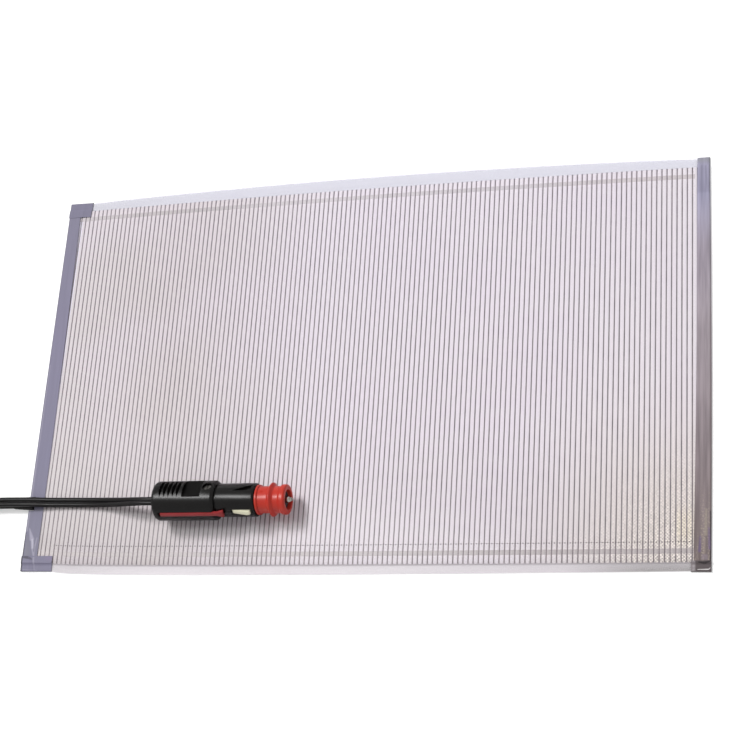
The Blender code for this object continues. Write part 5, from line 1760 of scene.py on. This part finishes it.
    def build(self) -> list[str]:
        """Cut both shells.

        Returns:
            The names of the pieces.
        """
        s, place = self.sizes, self.sizes.place()
        reach = s.body_radius + self.over
        shank = s.screw_radius + s.gap
        names = []
        for side, node in ((1, "plug_shell_upper"), (-1, "plug_shell_lower")):
            shell = self.blank(node.replace("plug_", "moulded_"))
            low, high = sided(side, self.seam / 2, reach)
            carve(shell, block("half_tool", (-self.over, -reach, low), (s.neck_end + self.over, reach, high),
                               place), "INTERSECT")
            for tool in self.shared_tools() + self.grip_tools(side):
                carve(shell, tool)
            if side > 0:
                carve(shell, self.upright(s.screw_x, *self.recess, reach, 32))
                carve(shell, self.upright(s.screw_x, shank, -self.seam, reach, 32))
                carve(shell, block("clamp_tool", *self.clamp_room, place))
                floor = s.neck_radius - self.pocket_depth
                carve(shell, prism("pocket_tool", self.pocket, floor, reach, "z", place))
            else:
                carve(shell, self.upright(s.screw_x, shank, self.screw_end, self.seam, 32))
            soften(shell, self.edge)
            names.append(hand_over(shell, Body.MAT, BLACK_ABS, [node]))
            self.shade_pad_floor(shell, side)
        return names + [self.build_screw()]

    def shade_pad_floor(self, shell: Piece, side: int) -> None:
        """Give the floor of the thumb pad its darker finish, painted shade for the recess.

        Args:
            shell: the shell.
            side: 1 for the upper shell and -1 for the lower one.
        """
        shell.data.materials.append(SHADED_PAD_ABS.make())
        back = self.sizes.place().inverted()
        floor = self.sizes.body_radius - self.pad[2]
        for face in shell.data.polygons:
            centre = back @ face.center
            if self.pad[0] < centre.x < self.pad[1] and abs(side * centre.z - floor) < 0.3 * MM:
                face.material_index = 1

    def build_screw(self) -> str:
        """Turn the screw and cut its slot.

        Returns:
            The piece's name.
        """
        s = self.sizes
        profile = filleted(mm_points((-6.5, 0), (-6.5, 1.45), (9.5, 1.45), (9.5, 2.7), (11.0, 2.7),
                                     (11.0, 0)), self.fillet)
        stand = s.place() @ Matrix.Translation((s.screw_x, 0, 0)) @ Matrix.Rotation(-math.pi / 2, 4, "Y")
        screw = turned("housing_screw", profile, stand, 48)
        carve(screw, block("screw_slot_tool", (s.screw_x - 0.35 * MM, *mm(-3.7, 10.4)),
                           (s.screw_x + 0.35 * MM, *mm(3.7, 13.0)), s.place()))
        soften(screw, 0.08 * MM)
        return hand_over(screw, Body.MAT, DARK_ZINC, ["shell_screw"])


@dataclass
class PlugFront:
    """The moving pieces and the nose: contacts, lock bar, sleeve, tip and its spring."""

    sizes: PlugSizes
    # the spring: radius of its wire and of its coil, and both its ends
    wire: float = 0.3 * MM
    spring_radius: float = 2.4 * MM
    spring_span: Pair = (74.42 * MM, 80.46 * MM)
    turns: int = 7
    per_turn: int = 28

    def build_contacts(self) -> list[str]:
        """Stamp both side contacts.

        Returns:
            The names of the pieces.
        """
        names = []
        half = self.sizes.contact_width / 2
        corners = mm_points((42.55, 8.2), (65.6, 8.2), (65.6, 11.1), (65.0, 12.0), (63.2, 12.3),
                            (53.7, 10.3), (53.7, 8.8), (42.55, 8.8))
        for side, word, body in ((-1, "front", Body.FRONT_CONTACT), (1, "rear", Body.REAR_CONTACT)):
            contact = prism(f"{word}_side_contact", [(x, side * y) for x, y in corners], -half, half, "z",
                            self.sizes.place())
            soften(contact, 0.22 * MM, 40.0)
            names.append(hand_over(contact, body, PLATED_BRASS, [f"side_contact_{word}"]))
        return names

    def build_lock_bar(self) -> str:
        """Mould the lock bar.

        Returns:
            The piece's name.
        """
        bar = prism("red_lock_bar", slide_outline(*self.sizes.bar, 4.6 * MM), *self.sizes.bar_sides, "y",
                    self.sizes.place())
        soften(bar, 0.45 * MM, 40.0)
        return hand_over(bar, Body.LOCK, RED_SLIDE, ["lock_slide"])

    def build_sleeve(self) -> str:
        """Mould the adapter sleeve, with its rims, ridge and gate mark.

        Returns:
            The piece's name.
        """
        outer = filleted(mm_points(
            (68.2, 6.35), (68.2, 9.4), (69.7, 9.4), (69.7, 8.4), (76.2, 8.4), (77.7, 10.6), (78.3, 10.6),
            (79.8, 8.4), (83.4, 8.4), (84.4, 9.4), (86.6, 9.4), (87.3, 9.05), (87.6, 8.4),
            (87.6, 6.35)), 0.4 * MM, 4)
        sleeve = turned("red_adapter_sleeve", outer, self.sizes.place(), bored=True)
        gate = [(73.2 * MM + x, -1.6 * MM + y) for x, y in arc((0, 0), 0.9 * MM, 0, 345, 23)]
        carve(sleeve, prism("gate_mark_tool", gate, 8.05 * MM, 12 * MM, "z", self.sizes.place()))
        soften(sleeve, 0.08 * MM, 35.0)
        return hand_over(sleeve, Body.SLEEVE, RED_PP, ["adapter_sleeve"])

    def build_nose(self) -> list[str]:
        """Turn the insulating nose and the tip contact.

        Returns:
            The names of the pieces.
        """
        place = self.sizes.place()
        profile = filleted(mm_points(
            (44.3, 3.6), (44.3, 7.4), (46.3, 7.4), (46.3, 6.0), (85.1, 6.0), (85.7, 5.4), (85.7, 2.3),
            (82.9, 2.3), (82.9, 3.6)), 0.2 * MM, 2)
        nose = turned("insulating_nose", profile, place, 64, bored=True)
        tip = turned("sprung_tip", mm_points(
            (81.1, 0), (81.1, 3.2), (81.2, 3.3), (82.5, 3.3), (82.6, 3.2), (82.6, 2.0), (87.5, 2.0),
            (87.75, 1.9), (88.9, 1.45), (89.3, 1.28), (90.0, 1.02), (90.6, 0.74), (90.9, 0.40),
            (91.0, 0)), place, 64)
        return [hand_over(nose, Body.MAT, BLACK_NYLON, ["plug_nose"]),
                hand_over(tip, Body.TIP, CHROMED_STEEL, ["tip_contact"])]

    def build_spring(self) -> str:
        """Wind the spring behind the tip, with both end turns closed.

        Returns:
            The name of the piece.
        """
        place, wire, turns = self.sizes.place(), self.wire, self.turns
        start, end = self.spring_span
        closed = 2.1 * wire
        rings = []
        for i in range(turns * self.per_turn + 1):
            done = i / self.per_turn
            # the first and last turn lie against their neighbours
            rise = (min(done, 1.0) + max(0.0, done - turns + 1)) * closed
            free = min(max(done - 1.0, 0.0), turns - 2.0) / (turns - 2.0)
            along = start + rise + free * (end - start - 2 * closed)
            out = Vector((0.0, math.cos(math.tau * done), math.sin(math.tau * done)))
            rings.append([place @ (Vector((along + wire * math.sin(a), 0.0, 0.0))
                                   + out * (self.spring_radius + wire * math.cos(a)))
                          for a in (math.tau * k / 10 for k in range(10))])
        spring = new_object("wound_spring", rings_to_shape(rings), 50.0)
        hand_over(spring, Body.MAT, CHROMED_STEEL, ["tip_spring"])
        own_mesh(spring)
        return spring.name

    def build(self) -> list[str]:
        """Build the front pieces, and name them."""
        return (self.build_contacts() + [self.build_lock_bar(), self.build_sleeve()] + self.build_nose()
                + [self.build_spring()])


# ---------------------------------------------------------------- the cord


@dataclass
class FlatCord:
    """Twin flat cord from the boot at the mat's edge, through its coil, into the plug."""

    outline: MatOutline
    plug: PlugSizes
    width: float = 6.4 * MM
    thickness: float = 3.2 * MM
    web: float = 0.9 * MM
    step: float = 4.0 * MM
    coil_x: float = -0.3165
    coil_radius: float = 0.0365
    turns: float = 6.75
    pitch: float = 3.9 * MM
    layer_pitch: float = 7.0 * MM
    low_level: float = 3.9 * MM
    points_per_turn: int = 60
    fine_steps: int = 24
    tie_thickness: float = 0.4 * MM
    tie_width: float = 4.0 * MM
    tie_gap: float = 0.3 * MM
    # the boot starts under the tape and tapers from its shoulder to its end: x, then width and height
    boot_stations: Triple = (-0.2161, -0.2200, -0.2300)
    boot_shoulder: Pair = (8.6 * MM, 4.0 * MM)
    boot_end: Pair = (7.1 * MM, 3.8 * MM)
    boot_level: float = 2.1 * MM
    # its grooves: depth, the shares of its length between which they lie, and how many fit in it
    boot_groove: float = 0.35 * MM
    boot_grooved: Pair = (0.15, 0.92)
    boot_grooves: float = 5.2

    @property
    def outer(self) -> float:
        """Radius of the coil's outer turn."""
        return self.coil_radius + self.pitch * self.turns / 4

    @property
    def inner(self) -> float:
        """Radius of the coil's inner turn."""
        return self.coil_radius - self.pitch * self.turns / 4

    @property
    def centre(self) -> Vector:
        """Centre of the coil on the floor."""
        return Vector((self.coil_x, self.outline.exit_y - self.outer, 0.0))

    def coil(self) -> list[tuple[Vector, float]]:
        """Follow the coil: in along the lower layer, up, and out along the upper one.

        Returns:
            Points and rolls, the straight ends included.
        """
        total = self.turns * math.tau
        high = self.low_level + self.layer_pitch
        route = [(Vector((self.coil_x + self.width, self.centre.y + self.outer, self.low_level)), 0.0)]
        count = round(self.turns * self.points_per_turn)
        for i in range(count + 1):
            turn = total * i / count - total / 2
            radius = self.inner + self.pitch * abs(turn) / math.tau
            level = self.low_level + eased(held(turn / math.pi + 0.5)) * self.layer_pitch
            angle = math.pi / 2 + turn + total / 2
            route.append((Vector((self.centre.x + radius * math.cos(angle),
                                  self.centre.y + radius * math.sin(angle), level)), 0.0))
        route.append((Vector((self.centre.x + self.outer, self.centre.y + self.width, high)), 0.0))
        return route

    def smooth(self, route: Sequence[tuple[Sequence[float], float]]) -> list[tuple[Vector, float]]:
        """Run an even, smooth curve through a route's own points.

        Args:
            route: points and rolls in degrees.

        Returns:
            Evenly spaced points and rolls.
        """
        knots = [Vector((*point, roll)) for point, roll in route]
        ends = [knots[0] * 2 - knots[1]] + knots + [knots[-1] * 2 - knots[-2]]
        fine = []
        for a, b, c, d in zip(ends, ends[1:], ends[2:], ends[3:]):
            for i in range(self.fine_steps):
                t = i / self.fine_steps
                fine.append(0.5 * (2 * b + (c - a) * t + (2 * a - 5 * b + 4 * c - d) * t ** 2
                                   + (3 * b - a - 3 * c + d) * t ** 3))
        fine.append(knots[-1])
        along = [0.0]
        for a, b in zip(fine, fine[1:]):
            along.append(along[-1] + (b.xyz - a.xyz).length)
        count = max(2, round(along[-1] / self.step))
        even = []
        index = 0
        for i in range(count + 1):
            target = along[-1] * i / count
            while index < len(along) - 2 and along[index + 1] < target:
                index += 1
            share = (target - along[index]) / max(along[index + 1] - along[index], 1e-9)
            value = fine[index].lerp(fine[index + 1], share)
            even.append((value.xyz, value.w))
        return even

    def route(self) -> list[tuple[Vector, float]]:
        """Join the mat side, the coil, the plug side and the clamped end.

        Returns:
            Points and rolls along the whole cord.
        """
        y = self.outline.exit_y
        coil = self.coil()
        # a step so short that the curve meets the coil along its own line
        lead_in, lead_out = coil[0][0] + Vector((3e-4, 0, 0)), coil[-1][0] + Vector((0, 3e-4, 0))
        mat_side = self.smooth([
            ((-0.2300, y, 0.0021), 90), ((-0.2385, y, 0.0019), 90), ((-0.2540, y, 0.0020), 90),
            ((-0.2760, y, 0.0030), 45), ((-0.2960, y, 0.0038), 6), (lead_in, 0)])
        plug_roll = 90 + self.plug.roll
        plug_side = self.smooth([
            (lead_out, 0), ((-0.2731, -0.1140, 0.0106), 8), ((-0.2690, -0.1012, 0.0094), 30),
            ((-0.2605, -0.0920, 0.0078), 62), ((-0.2500, -0.0876, 0.0066), 86),
            ((-0.2390, -0.0868, 0.0062), 90), ((-0.2270, -0.0868, 0.0063), 90),
            ((-0.2150, -0.0868, 0.0057), 90), ((-0.2030, -0.0868, 0.0043), 90),
            ((-0.1900, -0.0868, 0.0037), 90), ((-0.1760, -0.0871, 0.0040), 90),
            ((-0.1620, -0.0877, 0.0060), 84), ((-0.1500, -0.0888, 0.0101), 74),
            ((-0.1395, -0.0895, 0.0135), 64), ((-0.1305, -0.0897, 0.0147), 59),
            (self.plug.place() @ Vector((-0.0003, 0, 0)), plug_roll)])
        inside = [(self.plug.place() @ Vector((x, 0, 0)), plug_roll) for x in mm(3, 8, 13, 15.6)]
        return mat_side[:-1] + coil[:-1] + plug_side + inside

    def section(self) -> list[Pair]:
        """Outline of the cord: two round cores side by side with a web between.

        Returns:
            Points as (across the width, across the thickness).
        """
        radius = self.thickness / 2
        reach = math.degrees(math.acos(-math.sqrt(1 - (self.web / 2 / radius) ** 2)))
        right = [(radius + x, z) for x, z in arc((0, 0), radius, -reach, reach, 13)]
        return right + [(-x, -z) for x, z in right]

    def build(self, on_cord: Sequence[str]) -> None:
        """Args:
            on_cord: the names of the pieces on it; not used.
        """
        route, section = self.route(), self.section()
        points = [point for point, _ in route]
        rings = []
        for i, (point, roll) in enumerate(route):
            ahead = points[min(i + 1, len(points) - 1)] - points[max(i - 1, 0)]
            ahead.normalize()
            side = ahead.cross(Vector((0, 0, 1))).normalized()
            turn = math.radians(roll)
            broad = side.cross(ahead) * math.cos(turn) + side * math.sin(turn)
            thin = broad.cross(ahead)
            rings.append([point + broad * a + thin * b for a, b in section])
        cord = new_object("flat_twin_cord", rings_to_shape(rings), 60.0)
        hand_over(cord, Body.MAT, CORD_PVC,
                  ["cord_mat_side", "cord_coil", "cord_plug_side", "cord_end"])

    def build_tie(self) -> str:
        """Make the strap round the turns.

        Returns:
            The piece's name.
        """
        more, half = self.tie_thickness, self.tie_width / 2
        room = self.thickness / 2 + self.tie_gap
        right, left = self.centre.x - (self.inner - room), self.centre.x - (self.outer + room)
        low, top = more, self.low_level + self.layer_pitch + self.width / 2 + self.tie_gap
        inside = [(right, low), (left, low), (left, top), (right, top)]
        outside = [(right + more, low - more), (left - more, low - more), (left - more, top + more),
                   (right + more, top + more)]
        shape = bmesh.new()
        rows = [[shape.verts.new((x, self.centre.y + side * half, z)) for x, z in loop]
                for loop in (filleted(inside, 1.0 * MM, 5, True), filleted(outside, 1.4 * MM, 5, True))
                for side in (-1, 1)]
        for first, second in ((0, 1), (1, 3), (3, 2), (2, 0)):
            join_rows(shape, rows[first], rows[second])
        return hand_over(new_object("coil_strap", shape, 40.0), Body.MAT, LEAD_PVC, ["coil_tie"])

    def build_boot(self) -> str:
        """Mould the tapered, ribbed strain relief at the mat's edge.

        Returns:
            The piece's name.
        """
        start, shoulder, end = self.boot_stations
        rings = []
        for x in [start] + [shoulder - 0.25 * MM * i for i in range(40)] + [end]:
            share = held((shoulder - x) / (shoulder - end))
            wide, high = (a + (b - a) * share for a, b in zip(self.boot_shoulder, self.boot_end))
            low, high_end = self.boot_grooved
            cut = low < share < high_end and (share * self.boot_grooves) % 1.0 < 0.38
            groove = self.boot_groove if cut else 0.0
            loop = rounded_box(wide / 2 - groove, high / 2 - groove * 0.6, 1.6 * MM, 5)
            rings.append([Vector((x, self.outline.exit_y + a, self.boot_level + b)) for a, b in loop])
        boot = new_object("ribbed_cord_boot", rings_to_shape(rings), 35.0)
        return hand_over(boot, Body.MAT, CORD_PVC, ["cord_boot"])


# ---------------------------------------------------------------- studio


@dataclass(frozen=True)
class Lamp:
    """A soft lamp: its power in W, its place, what it faces, its size, and whether it is only mirrored."""

    power: float
    place: Triple
    target: Triple
    size: Pair
    only_mirrored: bool

    def build(self) -> None:
        """Hang the lamp."""
        lamp = bpy.data.lights.new("soft_lamp", "AREA")
        lamp.shape = "ELLIPSE"
        lamp.size, lamp.size_y = self.size
        lamp.energy = self.power
        holder = bpy.data.objects.new("soft_lamp", lamp)
        away = (Vector(self.place) - Vector(self.target)).to_track_quat("Z", "Y")
        holder.matrix_world = Matrix.LocRotScale(Vector(self.place), away, None)
        holder.visible_glossy, holder.visible_diffuse = self.only_mirrored, not self.only_mirrored
        bpy.context.scene.collection.objects.link(holder)


@dataclass(frozen=True)
class Studio:
    """Camera at the photograph's angle, soft light and a pale floor."""

    position: Triple = (0.3126, -0.3415, 0.9228)
    right: Triple = (0.95375516, 0.06722898, -0.2929699)
    forward: Triple = (-0.29827857, 0.3321807, -0.89481053)
    lens: float = 80.01
    sensor: float = 36.0
    ambient: float = 0.53
    floor_grey: float = 0.82
    floor_glow: float = 0.35
    floor_level: float = -0.05 * MM
    # the key behind the mat lights every surface, a soft box over the plug gives its long highlight
    lamps: tuple[Lamp, ...] = (
        Lamp(60.0, (-1.15, 1.10, 2.52), (0.0, 0.0, 0.0), (0.85, 0.85), False),
        Lamp(24.0, (-0.69, 0.14, 1.46), (-0.08, -0.09, 0.02), (0.38, 0.90), True))

    def build_camera(self) -> None:
        """Set up the camera."""
        ahead = Vector(self.forward).normalized()
        across = (Vector(self.right) - ahead * ahead.dot(Vector(self.right))).normalized()
        lens = bpy.data.cameras.new("camera")
        lens.lens = self.lens
        lens.sensor_width = self.sensor
        lens.sensor_fit = "HORIZONTAL"
        lens.clip_start = 0.01
        camera = bpy.data.objects.new("camera", lens)
        camera.matrix_world = Matrix.LocRotScale(Vector(self.position), Matrix(
            (across, across.cross(ahead), -ahead)).transposed().to_quaternion(), None)
        bpy.context.scene.collection.objects.link(camera)
        bpy.context.scene.camera = camera

    @staticmethod
    def clear_tree(holder: bpy.types.World | bpy.types.Material) -> tuple[Tree, Socket]:
        """Empty a node tree, and mask the rays that look at the set.

        Args:
            holder: the sky or the material.

        Returns:
            The tree, and 1 for a ray from the camera, mirrored or through glass, 0 for one that only
            carries light.
        """
        holder.use_nodes = True
        tree = holder.node_tree
        tree.nodes.clear()
        path, sketch = add_node(tree, "ShaderNodeLightPath").outputs, Sketch(tree)
        mirrored = sketch.math("MAXIMUM", path["Is Camera Ray"], path["Is Glossy Ray"])
        return tree, sketch.math("MAXIMUM", mirrored, path["Is Transmission Ray"])

    def build_sky(self) -> None:
        """Set up an even sky that looks white to the camera and in reflections."""
        sky = bpy.data.worlds.new("studio_sky")
        tree, seen = self.clear_tree(sky)
        glow = add_node(tree, "ShaderNodeBackground", {
            "Color": (1, 1, 1, 1), "Strength": Sketch(tree).span(seen, 0.0, 1.0, self.ambient, 1.0)})
        add_node(tree, "ShaderNodeOutputWorld", {"Surface": glow})
        bpy.context.scene.world = sky

    def build_floor(self) -> None:
        """Lay a floor that looks white and keeps the object's shadow."""
        shape = bmesh.new()
        bmesh.ops.create_grid(shape, x_segments=1, y_segments=1, size=6.0)
        for vert in shape.verts:
            vert.co.z = self.floor_level
        floor = new_object("floor", shape, None)
        surface = bpy.data.materials.new("white_studio_floor")
        tree, seen = self.clear_tree(surface)
        matt = add_node(tree, "ShaderNodeBsdfDiffuse", {"Color": (*[self.floor_grey] * 3, 1)})
        glow = add_node(tree, "ShaderNodeEmission", {
            "Color": (1, 1, 1, 1), "Strength": Sketch(tree).math("MULTIPLY", seen, self.floor_glow)})
        both = add_node(tree, "ShaderNodeAddShader", {0: matt, 1: glow})
        add_node(tree, "ShaderNodeOutputMaterial", {"Surface": both})
        floor.data.materials.append(surface)

    def build(self) -> None:
        """Set up the whole studio."""
        bpy.context.scene.view_settings.view_transform = "Standard"
        self.build_camera()
        for lamp in self.lamps:
            lamp.build()
        self.build_sky()
        self.build_floor()


# CAD nodes that stay in view: those that ride on the cord, and those at the busbars
ON_CORD = {"cord_clamp": BLACK_NYLON, "fuse_cap_front": PLATED_BRASS, "fuse_cap_rear": PLATED_BRASS,
           "fuse_wire": PLATED_BRASS, "fuse_seat": PLATED_BRASS, "contact_bridge": PLATED_BRASS,
           "fuse_glass": FUSE_TUBE, "live_core": LEAD_PVC, "ground_core": LEAD_PVC}
IN_MAT = {"front_lead": LEAD_PVC, "rear_lead": LEAD_PVC, "front_crimp": TINNED_RIBBON,
          "rear_crimp": TINNED_RIBBON}


def main() -> None:
    """Build the studio, the cord and its plug, and the mat."""
    logging.basicConfig(level=logging.INFO, format="%(name)s: %(message)s")
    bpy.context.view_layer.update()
    outline, plug = MatOutline(), PlugSizes()
    Studio().build()
    plug_pieces = PlugHousing(plug).build() + PlugFront(plug).build()
    cord = FlatCord(outline, plug)
    for name, finish in {**ON_CORD, **IN_MAT}.items():
        dress_node(name, finish)
    cord.build(plug_pieces + list(ON_CORD) + [cord.build_tie(), cord.build_boot()])
    Laminate(outline).build()
    TapedEdges(outline).build()


if __name__ == "__main__":
    main()
